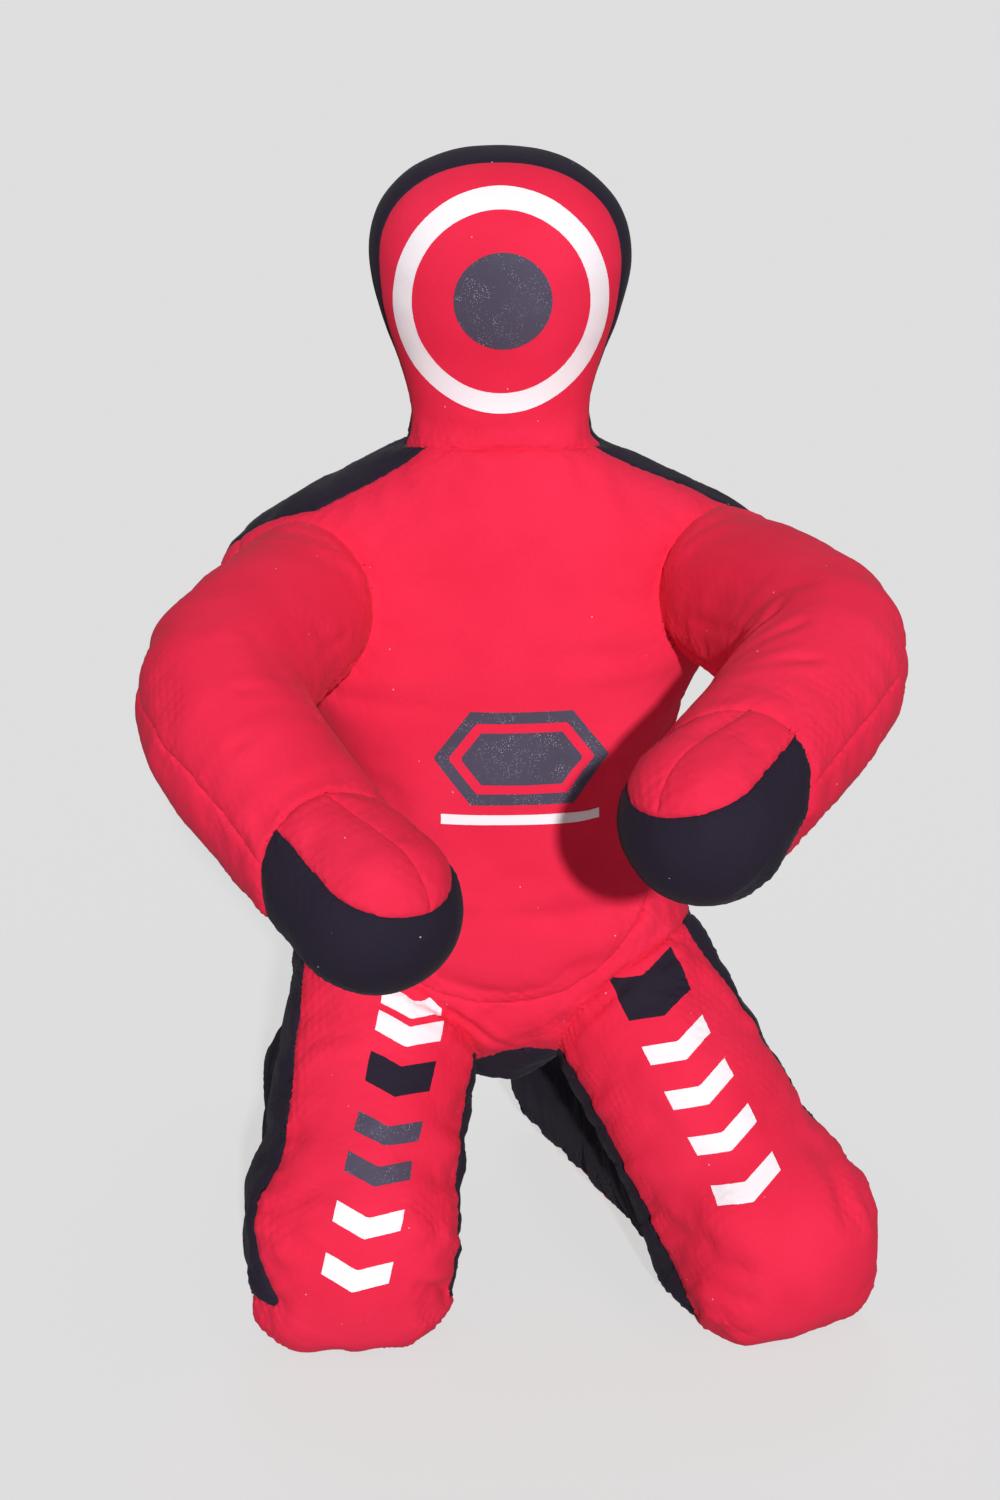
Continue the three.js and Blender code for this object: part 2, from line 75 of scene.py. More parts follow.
# ---------------------------------------------------------------- places, from the frame
pivot_rows = {j["name"]: np.array(j["pos_m"]) for j in frame["joints"] if "pos_m" in j}
SHIFT = np.array([pivot_rows["neck_nod"][0], pivot_rows["neck_nod"][1], 0.0])
PIVOT = {name: place - SHIFT for name, place in pivot_rows.items()}
SIDES = ("right", "left")

# ---------------------------------------------------------------- driving dimensions
GRID = 0.0075  # spacing of the grid that the skin is first meshed on
FLOOR_ROUND = 0.010  # how softly the floor flattens what rests on it
FAR = 9.0  # a distance that stands for anything far away
ARM_ROOT = 0.120  # how far the arm's line goes into the torso
ARM_RADII = (0.066, 0.081, 0.081, 0.0745, 0.0765)  # at the root, shoulder, elbow, wrist and hand
WRIST = {"right": (0.085, -0.108, -0.094), "left": (-0.067, -0.138, -0.051)}  # from the elbow
HAND = {"right": (0.069, -0.080, -0.042), "left": (-0.059, -0.082, -0.032)}  # from the wrist
FOOT = {"right": (-0.049, 0.448, -0.017), "left": (-0.191, 0.418, -0.017)}  # from the knee
THIGH_RADII = {"right": (0.110, 0.104), "left": (0.104, 0.104)}  # at the hip and the knee
SHIN_RADII = (0.097, 0.082)  # at the knee and the foot
KNEE_BOX = {"half": (0.104, 0.090, 0.094), "round": 0.050}

# The torso's level sections: height, half width, front and back.
TORSO = np.array(
    [
        (0.205, 0.020, -0.030, 0.050),
        (0.240, 0.080, -0.060, 0.080),
        (0.285, 0.165, -0.098, 0.112),
        (0.340, 0.214, -0.122, 0.128),
        (0.400, 0.207, -0.131, 0.130),
        (0.458, 0.176, -0.130, 0.122),
        (0.520, 0.163, -0.128, 0.120),
        (0.605, 0.180, -0.132, 0.120),
        (0.690, 0.206, -0.130, 0.120),
        (0.745, 0.250, -0.124, 0.120),
        (0.795, 0.293, -0.114, 0.120),
        (0.838, 0.262, -0.106, 0.112),
        (0.872, 0.206, -0.098, 0.104),
        (0.905, 0.139, -0.090, 0.096),
        (0.932, 0.098, -0.081, 0.086),
        (0.960, 0.082, -0.066, 0.070),
    ]
)
TORSO_SQUARENESS, HEAD_SQUARENESS = 2.4, 2.25  # 2 is an ellipse, and more is squarer
RIGHT_SIDE_OUT = 0.016  # how much fuller the right side is under the arm
SHOULDER_LIFT = 0.035  # how much higher the left shoulder is than the right, for each metre out
# The head's outline above the neck joint: height and half width.
HEAD = np.array(
    [
        (-0.050, 0.088), (0.000, 0.0905), (0.035, 0.095), (0.070, 0.105), (0.105, 0.118), (0.140, 0.1275),
        (0.172, 0.1315), (0.204, 0.1265), (0.232, 0.111), (0.256, 0.083), (0.271, 0.046), (0.2765, 0.004),
    ]
)
HEAD_DEPTH = 0.80  # of its width
HEAD_MIDDLE = 0.15  # above the neck joint, where the outline is seen from
WAIST = 0.43  # arms come off the torso above this and legs below it
# How softly parts flow into one another.
NECK_BLEND, ARM_BLEND, LEG_BLEND, KNEE_BLEND, CALF_BLEND = 0.016, 0.009, 0.012, 0.030, 0.014


# ---------------------------------------------------------------- curves and fields
def unit(vector):
    vector = np.asarray(vector, float)
    return vector / np.linalg.norm(vector)


def smooth_curve(points, steps=6):
    """Catmull-Rom points through the given ones. Works for any number of columns."""
    points = np.asarray(points, float)
    ends = np.vstack([2 * points[0] - points[1], points, 2 * points[-1] - points[-2]])
    t = np.linspace(0, 1, steps, endpoint=False)[:, None]
    out = []
    for a, b, c, d in zip(ends, ends[1:], ends[2:], ends[3:]):
        square, cube = 2 * a - 5 * b + 4 * c - d, 3 * b - a - 3 * c + d
        out.append(0.5 * (2 * b + (c - a) * t + square * t**2 + cube * t**3))
    return np.vstack([*out, points[-1:]])


def ramp(value, low, high):
    """Rises smoothly from 0 at low to 1 at high."""
    t = np.clip((value - low) / (high - low), 0, 1)
    return t * t * (3 - 2 * t)


def soft_min(a, b, k):
    h = np.maximum(k - np.abs(a - b), 0) / k
    return np.minimum(a, b) - h * h * k / 4


def soft_max(a, b, k):
    return -soft_min(-a, -b, k)


def chain(p, line, radii):
    """Distance to a tube of changing radius along a line, and how far along the line the nearest point is."""
    nearest = np.full(len(p), FAR)
    along = np.zeros(len(p))
    run = 0.0
    for a, b, ra, rb in zip(line, line[1:], radii, radii[1:]):
        step = b - a
        length = np.linalg.norm(step)
        t = np.clip((p - a) @ step / length**2, 0, 1)
        off = p - a - t[:, None] * step
        d = np.sqrt(np.einsum("ij,ij->i", off, off)) - (ra + (rb - ra) * t)
        closer = d < nearest
        nearest = np.where(closer, d, nearest)
        along = np.where(closer, run + t * length, along)
        run += length
    return nearest, along


def near(p, low, high, field):
    """Field where p is inside a box, and far away elsewhere."""
    inside = np.all((p > low) & (p < high), axis=1)
    out = np.full(len(p), FAR)
    out[inside] = field(p[inside])
    return out


TORSO_FINE = smooth_curve(TORSO, 8)


def torso_field(p):
    z = p[:, 2] - SHOULDER_LIFT * np.maximum(p[:, 0], 0) * ramp(p[:, 2], 0.74, 0.84)
    half, front, back = (np.interp(z, TORSO_FINE[:, 0], TORSO_FINE[:, i]) for i in (1, 2, 3))
    half = half + np.where(p[:, 0] < 0, RIGHT_SIDE_OUT * np.exp(-(((z - 0.69) / 0.05) ** 2)), 0)
    middle, deep = (front + back) / 2, (back - front) / 2
    n = TORSO_SQUARENESS
    reach = (np.abs(p[:, 0] / half) ** n + np.abs((p[:, 1] - middle) / deep) ** n) ** (1 / n)
    d = (reach - 1) * np.minimum(half, deep)
    return soft_max(soft_max(d, z - TORSO[-1, 0], 0.02), TORSO[0, 0] - z, 0.02)


HEAD_FINE = smooth_curve(HEAD, 5)[::-1]
HEAD_ANGLES = np.arctan2(HEAD_FINE[:, 1], HEAD_FINE[:, 0] - HEAD_MIDDLE)
HEAD_REACH = np.hypot(HEAD_FINE[:, 1], HEAD_FINE[:, 0] - HEAD_MIDDLE)


def head_field(p):
    q = p - PIVOT["neck_nod"]
    n = HEAD_SQUARENESS
    rho = (np.abs(q[:, 0]) ** n + np.abs(q[:, 1] / HEAD_DEPTH) ** n) ** (1 / n)
    rise = q[:, 2] - HEAD_MIDDLE
    d = np.hypot(rho, rise) - np.interp(np.arctan2(rho, rise), HEAD_ANGLES, HEAD_REACH)
    return soft_max(0.9 * d, HEAD[0, 0] - q[:, 2], 0.01)


ARM_STEPS = 4  # how many steps the arm's line takes from one place to the next
ARM_ROOM, LEG_ROOM = 0.16, 0.19  # how far round a limb's line its field is worked out


class Arm:
    def __init__(self, side):
        self.side = side
        self.shoulder, self.elbow = PIVOT[f"shoulder_{side}"], PIVOT[f"elbow_{side}"]
        self.wrist = self.elbow + WRIST[side]
        self.hand = self.wrist + HAND[side]
        root = self.shoulder + ARM_ROOT * unit(self.shoulder - self.elbow)
        places = np.array([root, self.shoulder, self.elbow, self.wrist, self.hand])
        spine = np.column_stack([places, ARM_RADII])
        fine = smooth_curve(spine, ARM_STEPS)
        self.line, self.radii = fine[:, :3], fine[:, 3]
        self.low, self.high = self.line.min(0) - ARM_ROOM, self.line.max(0) + ARM_ROOM
        to_elbow = self.line[: 2 * ARM_STEPS + 1]
        self.elbow_run = np.linalg.norm(np.diff(to_elbow, axis=0), axis=1).sum()

    def chain(self, p):
        return chain(p, self.line, self.radii)

    def under_seam(self, p, along):
        """Above zero on the arm's upper panel. The seam lies lower on the side that faces the body."""
        steps = np.linalg.norm(np.diff(self.line, axis=0), axis=1)
        run = np.concatenate([[0], np.cumsum(steps)])
        ways = np.gradient(self.line, axis=0)
        ways /= np.linalg.norm(ways, axis=1)[:, None]
        up = np.array([0, 0, 1.0]) - ways[:, 2:] * ways
        up /= np.linalg.norm(up, axis=1)[:, None]
        out = np.cross(up, ways) if self.side == "left" else np.cross(ways, up)
        middle, up, out = (
            np.column_stack([np.interp(along, run, v[:, i]) for i in range(3)]) for v in (self.line, up, out)
        )
        height, outward = np.einsum("ij,ij->i", p - middle, up), np.einsum("ij,ij->i", p - middle, out)
        return height - UNDER_ARM - UNDER_ARM_TILT * outward

    def field(self, p):
        return near(p, self.low, self.high, lambda q: self.chain(q)[0])


class Leg:
    def __init__(self, side):
        self.side = side
        self.hip, self.knee = PIVOT[f"hip_{side}"], PIVOT[f"knee_{side}"]
        self.foot = self.knee + FOOT[side]
        self.thigh_way, self.shin_way = unit(self.knee - self.hip), unit(self.foot - self.knee)
        forward, down = np.array([0.0, -1.0, 0.0]), np.array([0.0, 0.0, -1.0])
        self.front = unit(forward - forward @ self.thigh_way * self.thigh_way)
        self.under = unit(down - down @ self.shin_way * self.shin_way)
        places = np.array([self.hip, self.knee, self.foot])
        self.low, self.high = places.min(0) - LEG_ROOM, places.max(0) + LEG_ROOM

    def field(self, p):
        return near(p, self.low, self.high, self.distance)

    def thigh_distance(self, q):
        return chain(q, [self.hip, self.knee], THIGH_RADII[self.side])[0]

    def shin_distance(self, q):
        shin, _ = chain(q, [self.knee, self.foot], SHIN_RADII)
        back = np.array([self.shin_way[0], self.shin_way[1], 0]) / np.linalg.norm(self.shin_way[:2])
        across = np.array([back[1], -back[0], 0])
        local = q - (self.knee + back * 0.004)
        half = np.array(KNEE_BOX["half"]) - KNEE_BOX["round"]
        over = np.abs(np.column_stack([local @ across, local @ back, local[:, 2]])) - half
        box = np.linalg.norm(np.maximum(over, 0), axis=1) + np.minimum(over.max(1), 0) - KNEE_BOX["round"]
        return box, shin

    def distance(self, q):
        box, shin = self.shin_distance(q)
        return soft_min(soft_min(self.thigh_distance(q), box, KNEE_BLEND), shin, CALF_BLEND)

    def down_thigh(self, p):
        """Above zero past the middle of the thigh, and all over the knee and the shin."""
        fold = self.thigh_distance(p) - self.shin_distance(p)[1]
        return soft_max((p - self.hip) @ self.thigh_way - MID_THIGH[self.side], fold, 0.004)

    def across(self, p):
        """How far out to the leg's outer side each point is, from -1 to 1."""
        outward = np.cross(self.thigh_way, self.front)
        outward *= np.sign(outward[0]) * (1 if self.side == "left" else -1)
        return np.clip((p - self.hip) @ outward / THIGH_RADII[self.side][0], -1, 1)

    def side_seam(self, p):
        """Above zero on the front of the thigh and the underside of the shin."""
        share = (self.across(p) + 1) / 2
        down = np.clip((p - self.hip) @ self.thigh_way / np.linalg.norm(self.knee - self.hip), 0, 1)
        back = ramp((p - self.knee) @ self.shin_way, 0.0, 0.25)
        seams = LEG_SEAM[self.side]
        at_hip, at_knee, under_knee = (inner + (outer - inner) * share for inner, outer in seams)
        thigh = (p - self.hip) @ self.front - at_hip - (at_knee - at_hip) * down
        shin = (p - self.knee) @ self.under - under_knee - (UNDER_FOOT - under_knee) * back
        return soft_max(thigh, shin, 0.03)


ARMS = {side: Arm(side) for side in SIDES}
LEGS = {side: Leg(side) for side in SIDES}


def body_field(p):
    d = soft_min(torso_field(p), head_field(p), NECK_BLEND)
    for side in SIDES:
        d = soft_min(d, ARMS[side].field(p), ARM_BLEND)
    for side in SIDES:
        d = soft_min(d, LEGS[side].field(p), LEG_BLEND)
    return soft_max(d, -p[:, 2], FLOOR_ROUND)


# ---------------------------------------------------------------- the skin's mesh
def grid_mesh(low, high, spacing, block=4):
    """Quads over the body field's surface. The field is sampled on a grid, in the blocks near the surface."""
    blocks = np.ceil((high - low) / (spacing * block)).astype(int) + 2
    count = blocks * block
    start = low - spacing * block
    middles = (np.indices(blocks).reshape(3, -1).T + 0.5) * block - 0.5
    rough = body_field(start + middles * spacing)
    values = np.repeat(np.sign(rough) * 3, block**3).reshape(-1, block, block, block).astype(np.float32)
    busy = np.abs(rough) < 1.25 * block * spacing
    inner = np.indices((block,) * 3).reshape(3, -1).T
    corners = np.indices(blocks).reshape(3, -1).T[busy] * block
    cells = (corners[:, None, :] + inner).reshape(-1, 3)
    values[busy] = (body_field(start + cells * spacing) / spacing).reshape(-1, block, block, block)
    whole = values.reshape(*blocks, block, block, block).transpose(0, 3, 1, 4, 2, 5).reshape(count)
    grid = openvdb.FloatGrid()
    grid.copyFromArray(np.clip(np.ascontiguousarray(whole), -3, 3))
    points, quads = grid.convertToQuads(0.0)
    return start + points * spacing, quads.astype(int)


def gradient(p, h=0.0015):
    out = np.empty_like(p)
    for i in range(3):
        step = np.zeros(3)
        step[i] = h
        out[:, i] = (body_field(p + step) - body_field(p - step)) / (2 * h)
    return out


def onto_surface(p, rounds=2):
    for _ in range(rounds):
        g = gradient(p)
        size = np.maximum((g**2).sum(1), 0.2)
        step = body_field(p)[:, None] * g / size[:, None]
        p = p - np.clip(step, -0.004, 0.004)
    return p


def neighbour_mean(values, edges, count):
    total = np.zeros_like(values)
    weight = np.zeros(count)
    for a, b in (edges.T, edges[:, ::-1].T):
        np.add.at(total, a, values[b])
        np.add.at(weight, a, 1)
    return total / weight[:, None]


def quad_edges(quads):
    pairs = np.sort(quads[:, [0, 1, 1, 2, 2, 3, 3, 0]].reshape(-1, 2), axis=1)
    return np.unique(pairs, axis=0)


def subdivide(quads, values):
    """Each quad becomes four. values is a list of arrays with a row for each vertex."""
    count = len(values[0])
    pairs = np.sort(quads[:, [0, 1, 1, 2, 2, 3, 3, 0]].reshape(-1, 2), axis=1)
    edges, where = np.unique(pairs, axis=0, return_inverse=True)
    where = where.reshape(-1, 4) + count
    middle = np.arange(len(quads)) + count + len(edges)
    grown = [np.vstack([v, v[edges].mean(1), v[quads].mean(1)]) for v in values]
    corners = [np.column_stack([quads[:, i], where[:, i], middle, where[:, i - 1]]) for i in range(4)]
    return np.vstack(corners), grown


def normals_of(points, faces):
    corner = points[faces]
    normal = np.cross(corner[:, 1] - corner[:, 0], corner[:, 2] - corner[:, 0])
    total = np.zeros_like(points)
    for i in range(3):
        np.add.at(total, faces[:, i], normal)
    return total / np.maximum(np.linalg.norm(total, axis=1), 1e-12)[:, None]


def split_edges(faces, marked, t, values):
    """Adds a vertex on each marked edge, at t along it, to a triangle mesh. marked holds sorted vertex pairs.
    Returns the new faces, the face that each came from, and the arrays with their new rows."""
    count = len(values[0])
    a, b = marked[:, 0], marked[:, 1]
    grown = [np.vstack([v, v[a] + (v[b] - v[a]) * t[:, None]]) for v in values]
    on_cut = np.zeros(count, bool)
    on_cut[marked] = True
    touched = np.flatnonzero(on_cut[faces].sum(1) > 1)
    keys = a * count + b
    order = np.argsort(keys)
    keys = keys[order]

    def new_vertex(u, w):
        key = np.minimum(u, w) * count + np.maximum(u, w)
        place = np.minimum(np.searchsorted(keys, key), len(keys) - 1)
        return np.where(keys[place] == key, count + order[place], -1)

    mine = faces[touched]
    cut = np.column_stack([new_vertex(mine[:, i], mine[:, (i + 1) % 3]) for i in range(3)])
    number = (cut >= 0).sum(1)
    kept = np.ones(len(faces), bool)
    kept[touched[number > 0]] = False
    out, parents = [faces[kept]], [np.flatnonzero(kept)]

    def add(chosen, *corners):
        out.append(np.column_stack(corners))
        parents.append(touched[chosen])

    for turn in range(3):
        v, c = np.roll(mine, -turn, axis=1), np.roll(cut, -turn, axis=1)
        one = (number == 1) & (c[:, 1] >= 0)
        add(one, v[one, 0], v[one, 1], c[one, 1])
        add(one, v[one, 0], c[one, 1], v[one, 2])
        two = (number == 2) & (c[:, 0] >= 0) & (c[:, 2] >= 0)
        add(two, v[two, 0], c[two, 0], c[two, 2])
        add(two, c[two, 0], v[two, 1], v[two, 2])
        add(two, c[two, 0], v[two, 2], c[two, 2])
    three = number == 3
    v, c = mine[three], cut[three]
    add(three, v[:, 0], c[:, 0], c[:, 2])
    add(three, v[:, 1], c[:, 1], c[:, 0])
    add(three, v[:, 2], c[:, 2], c[:, 1])
    add(three, c[:, 0], c[:, 1], c[:, 2])
    return np.vstack(out), np.concatenate(parents), grown


class Skin:
    """A triangle mesh with named arrays that hold a row for each vertex, and the panel of each face.
    New vertices get their rows by mixing, and new faces belong where the face they came from did."""

    def __init__(self, faces, panel=None, **arrays):
        self.faces, self.arrays = faces, arrays
        self.panel = np.zeros(len(faces), int) if panel is None else panel

    def __getattr__(self, name):
        return self.arrays[name]

    def cut(self, name, index, where=None):
        """Adds edges along the line where an array's column is zero, in the faces that where marks."""
        chosen = self.faces if where is None else self.faces[where]
        values = self.arrays[name][:, index][chosen]
        chosen = chosen[(values.min(1) < 0) & (values.max(1) > 0)]
        pairs = np.unique(np.sort(chosen[:, [0, 1, 1, 2, 2, 0]].reshape(-1, 2), axis=1), axis=0)
        pairs, t = self.crossings(name, index, pairs)
        for picked, mover, other, share in ((t < SNAP, 0, 1, t), (t > 1 - SNAP, 1, 0, 1 - t)):
            v, w, part = pairs[picked, mover], pairs[picked, other], share[picked][:, None]
            for array in self.arrays.values():
                array[v] += (array[w] - array[v]) * part
            self.arrays[name][v, index] = 0
        pairs, t = self.crossings(name, index, pairs)
        if len(pairs):
            first = len(self.arrays[name])
            t = np.clip(t, SNAP, 1 - SNAP)
            self.faces, parents, grown = split_edges(self.faces, pairs, t, list(self.arrays.values()))
            self.panel = self.panel[parents]
            self.arrays = dict(zip(self.arrays, grown))
            self.arrays[name][first:, index] = 0

    def crossings(self, name, index, pairs):
        a, b = self.arrays[name][pairs[:, 0], index], self.arrays[name][pairs[:, 1], index]
        crossing = a * b < 0
        return pairs[crossing], (a / np.where(a == b, 1, a - b))[crossing]

    def face_mean(self, name, index):
        return self.arrays[name][:, index][self.faces].mean(1)

    def part(self, chosen):
        """A new skin of the chosen faces, with only their vertices."""
        used, faces = np.unique(self.faces[chosen], return_inverse=True)
        arrays = {k: v[used].copy() for k, v in self.arrays.items()}
        return Skin(faces.reshape(-1, 3), self.panel[chosen].copy(), **arrays)


def lattice_noise(p, scale, seed):
    """Smooth noise from -1 to 1, with bumps about scale wide."""
    q = p / scale
    cell = np.floor(q)
    f = q - cell
    f = f * f * (3 - 2 * f)
    cell = cell.astype(np.int64)
    total = np.zeros(len(p))
    for corner in np.indices((2, 2, 2)).reshape(3, -1).T:
        c = (cell + corner).astype(np.uint64)
        key = c[:, 0] * np.uint64(73856093) ^ c[:, 1] * np.uint64(19349663) ^ c[:, 2] * np.uint64(83492791)
        key = (key + np.uint64(seed * 7919 + 17)) * np.uint64(0x9E3779B97F4A7C15)
        key ^= key >> np.uint64(29)
        key *= np.uint64(0xBF58476D1CE4E5B9)
        key ^= key >> np.uint64(32)
        value = (key & np.uint64(0xFFFF)).astype(float) / 32767.5 - 1
        total += value * np.prod(np.where(corner, f, 1 - f), axis=1)
    return total


# ---------------------------------------------------------------- seams
SNAP = 0.15  # a cut that passes nearer than this share of an edge to a vertex moves the vertex instead
SEAMS = ["neck", "head_side", "torso_side", "belly", "gusset", "zip", "legs_apart"]
ARM_SEAMS = ("armhole", "mid_arm", "under_arm", "wrist", "hand_edge", "hand_side")
LEG_SEAMS = ("groin", "mid_thigh", "leg_side")
for side in SIDES:
    SEAMS += [f"{seam}_{side}" for seam in ARM_SEAMS + LEG_SEAMS]
SEAM = {name: i for i, name in enumerate(SEAMS)}

MID_ARM = 0.240  # along the arm from its root
UNDER_ARM, UNDER_ARM_TILT = -0.018, 0.37  # above the arm's middle, and its rise for each metre outward
MID_THIGH = {"right": 0.155, "left": 0.183}  # from the hip
# Where the leg's side seams lie, inside and outside: in front of the thigh's middle at the hip and at the
# knee, and below the shin's middle at the knee.
LEG_SEAM = {
    "right": ((0.025, 0.062), (0.025, 0.066), (0.050, 0.030)),
    "left": ((0.052, 0.034), (0.056, -0.050), (0.078, -0.005)),
}
UNDER_FOOT = 0.056  # and below the shin's middle at the foot
CROTCH_TOP, CROTCH_ARCH, CROTCH_X = 0.272, 8.0, 0.030  # the gusset's arch: its height, curve and middle
NECK_SEAM, NECK_DIP = 0.928, 0.12  # its height, and how much it rises for each metre forward
BELLY_SEAM, BELLY_BOWL, BELLY_CORNER = 0.342, 3.0, 45.0  # its height, and how it curves up to the sides
HEAD_SEAM, HEAD_SEAM_LEAN = 0.008, 0.037  # how far forward the head's seam lies, and how much more at the top
SIDE_SEAM, SIDE_SEAM_TOP = 0.004, 0.056  # how far back the torso's seam lies, and how far forward it goes
# How much less of that there is further out on the left, and beyond a distance on the right.
SIDE_SEAM_LEFT, SIDE_SEAM_RIGHT, SIDE_SEAM_FROM = 0.22, 0.6, 0.19
WRIST_PAST_ELBOW = 0.05  # the wrist's seam starts no nearer to the elbow
ZIP_OFF_GRID = 1e-6  # keeps the zip's seam off the grid's own points
# Each flat seam: a point that it passes through, and the way that its upper or hand side faces.
WRIST_SEAM = {
    "right": ((-0.188, -0.448, 0.675), (0.48, -0.87, -0.10)),
    "left": ((0.246, -0.471, 0.765), (-0.21, -0.95, 0.22)),
}
HAND_EDGE = {
    "right": ((-0.106, -0.513, 0.631), (0.22, -0.285, 0.93)),
    "left": ((0.180, -0.534, 0.732), (-0.265, -0.196, 0.944)),
}
HAND_SIDE = {
    "right": ((-0.095, -0.487, 0.661), (-0.62, -0.78, 0.08)),
    "left": ((0.163, -0.513, 0.753), (0.61, -0.77, 0.18)),
}


def seam_fields(p):
    """Each seam's field over the points. The seam is where it is zero, and its sign tells its sides apart."""
    f = np.zeros((len(p), len(SEAMS)))
    x, y, z = p.T
    torso = torso_field(p)
    f[:, SEAM["neck"]] = z - NECK_SEAM - NECK_DIP * np.maximum(-y, 0)
    f[:, SEAM["head_side"]] = -y - HEAD_SEAM - HEAD_SEAM_LEAN * ramp(z, 0.98, 1.13)
    shoulder = ramp(z, 0.55, 0.85)
    left, right = np.clip(x, 0, 0.2), np.clip(-x - SIDE_SEAM_FROM, 0, 0.12)
    forward = SIDE_SEAM_TOP - SIDE_SEAM_LEFT * left - SIDE_SEAM_RIGHT * right
    f[:, SEAM["torso_side"]] = SIDE_SEAM - shoulder * forward - y
    f[:, SEAM["belly"]] = z - BELLY_SEAM - BELLY_BOWL * x**2 - BELLY_CORNER * x**4
    f[:, SEAM["gusset"]] = CROTCH_TOP - CROTCH_ARCH * (x - CROTCH_X) ** 2 - z
    f[:, SEAM["zip"]] = x + ZIP_OFF_GRID
    leg_fields = {}
    for side in SIDES:
        arm, leg = ARMS[side], LEGS[side]
        d, along = arm.chain(p)
        far = np.any((p < arm.low) | (p > arm.high), axis=1)
        d[far] = FAR
        f[:, SEAM[f"armhole_{side}"]] = torso - d
        f[:, SEAM[f"mid_arm_{side}"]] = along - MID_ARM
        f[:, SEAM[f"under_arm_{side}"]] = arm.under_seam(p, along)
        for seam, planes in (("wrist", WRIST_SEAM), ("hand_edge", HAND_EDGE), ("hand_side", HAND_SIDE)):
            point, way = planes[side]
            f[:, SEAM[f"{seam}_{side}"]] = (p - point) @ unit(way)
        past_elbow = along - arm.elbow_run - WRIST_PAST_ELBOW
        f[:, SEAM[f"wrist_{side}"]] = np.minimum(f[:, SEAM[f"wrist_{side}"]], past_elbow)
        leg_fields[side] = leg.field(p)
        f[:, SEAM[f"groin_{side}"]] = torso - leg_fields[side]
        f[:, SEAM[f"mid_thigh_{side}"]] = leg.down_thigh(p)
        f[:, SEAM[f"leg_side_{side}"]] = leg.side_seam(p)
    f[:, SEAM["legs_apart"]] = np.where(z < WAIST, leg_fields["right"] - leg_fields["left"], FAR)
    return f


PANELS = ["torso_front", "hip_front", "torso_back_right", "torso_back_left", "crotch_gusset"]
PANELS += ["head_front", "head_back"]
ARM_PANELS = ["upper_arm_top", "upper_arm_under", "forearm_top", "forearm_under"]
HAND_PANELS = ["hand_top", "hand_side", "hand_palm"]
LEG_PANELS = ["thigh_front", "thigh_back", "shin_front", "shin_back"]
for side in SIDES:
    PANELS += [f"{part}_{side}" for part in ARM_PANELS + HAND_PANELS + LEG_PANELS]


def cut_seams(skin):
    """Cuts every seam and tells each face which panel it belongs to."""

    def side_of(name):
        return skin.face_mean("seams", SEAM[name]) > 0

    def cut(name, where=None):
        skin.cut("seams", SEAM[name], where)

    def above_waist():
        return skin.face_mean("rest", 2) > WAIST

    def arm(side):
        return side_of(f"armhole_{side}") & above_waist()

    def leg(side):
        return side_of(f"groin_{side}") & ~above_waist() & (side_of("legs_apart") == (side == "left"))

    def trunk():
        return ~(arm("right") | arm("left") | leg("right") | leg("left"))

    for side in SIDES:
        cut(f"armhole_{side}")
        cut(f"groin_{side}", ~above_waist())
    cut("legs_apart", ~above_waist() & (side_of("groin_right") | side_of("groin_left")))
    for side in SIDES:
        cut(f"mid_arm_{side}", arm(side))
        cut(f"wrist_{side}", arm(side))
        cut(f"under_arm_{side}", arm(side) & ~side_of(f"wrist_{side}"))
        cut(f"hand_side_{side}", arm(side) & side_of(f"wrist_{side}"))
        cut(f"hand_edge_{side}", arm(side) & side_of(f"wrist_{side}"))
        cut(f"mid_thigh_{side}", leg(side))
        cut(f"leg_side_{side}", leg(side))
    cut("neck", trunk())
    cut("head_side", trunk() & side_of("neck"))
    cut("torso_side", trunk() & ~side_of("neck"))
    cut("gusset", trunk() & ~side_of("neck"))
    cut("belly", trunk() & ~side_of("neck") & side_of("torso_side"))
    cut("zip", trunk() & ~side_of("neck") & ~side_of("torso_side"))

    def name_panel(name, chosen):
        skin.panel[chosen] = PANELS.index(name)

    body, head, front = trunk(), side_of("neck"), side_of("torso_side")
    name_panel("torso_front", body)
    name_panel("hip_front", body & front & ~side_of("belly"))
    name_panel("torso_back_right", body & ~front & ~side_of("zip"))
    name_panel("torso_back_left", body & ~front & side_of("zip"))
    name_panel("crotch_gusset", body & side_of("gusset"))
    name_panel("head_front", body & head & side_of("head_side"))
    name_panel("head_back", body & head & ~side_of("head_side"))
    for side in SIDES:
        hand, top, upper = side_of(f"wrist_{side}"), side_of(f"under_arm_{side}"), ~side_of(f"mid_arm_{side}")
        for name, part in (("upper_arm", upper & ~hand), ("forearm", ~upper & ~hand)):
            name_panel(f"{name}_top_{side}", arm(side) & part & top)
            name_panel(f"{name}_under_{side}", arm(side) & part & ~top)
        name_panel(f"hand_top_{side}", arm(side) & hand)
        name_panel(f"hand_side_{side}", arm(side) & hand & ~side_of(f"hand_side_{side}"))
        name_panel(f"hand_palm_{side}", arm(side) & hand & ~side_of(f"hand_edge_{side}"))
        red = side_of(f"leg_side_{side}")
        for name, part in (("thigh", ~side_of(f"mid_thigh_{side}")), ("shin", side_of(f"mid_thigh_{side}"))):
            name_panel(f"{name}_front_{side}", leg(side) & part & red)
            name_panel(f"{name}_back_{side}", leg(side) & part & ~red)


# ---------------------------------------------------------------- the whole skin
STITCHED = 0.0045  # the skin gets extra edges this far from a seam, and at a third of it
SEAM_WIDTH = 0.0026  # how fast a seam's groove fades
SEAM_DEPTH = 0.0036


def halves(quads):
    return np.vstack([quads[:, [0, 1, 2]], quads[:, [0, 2, 3]]])


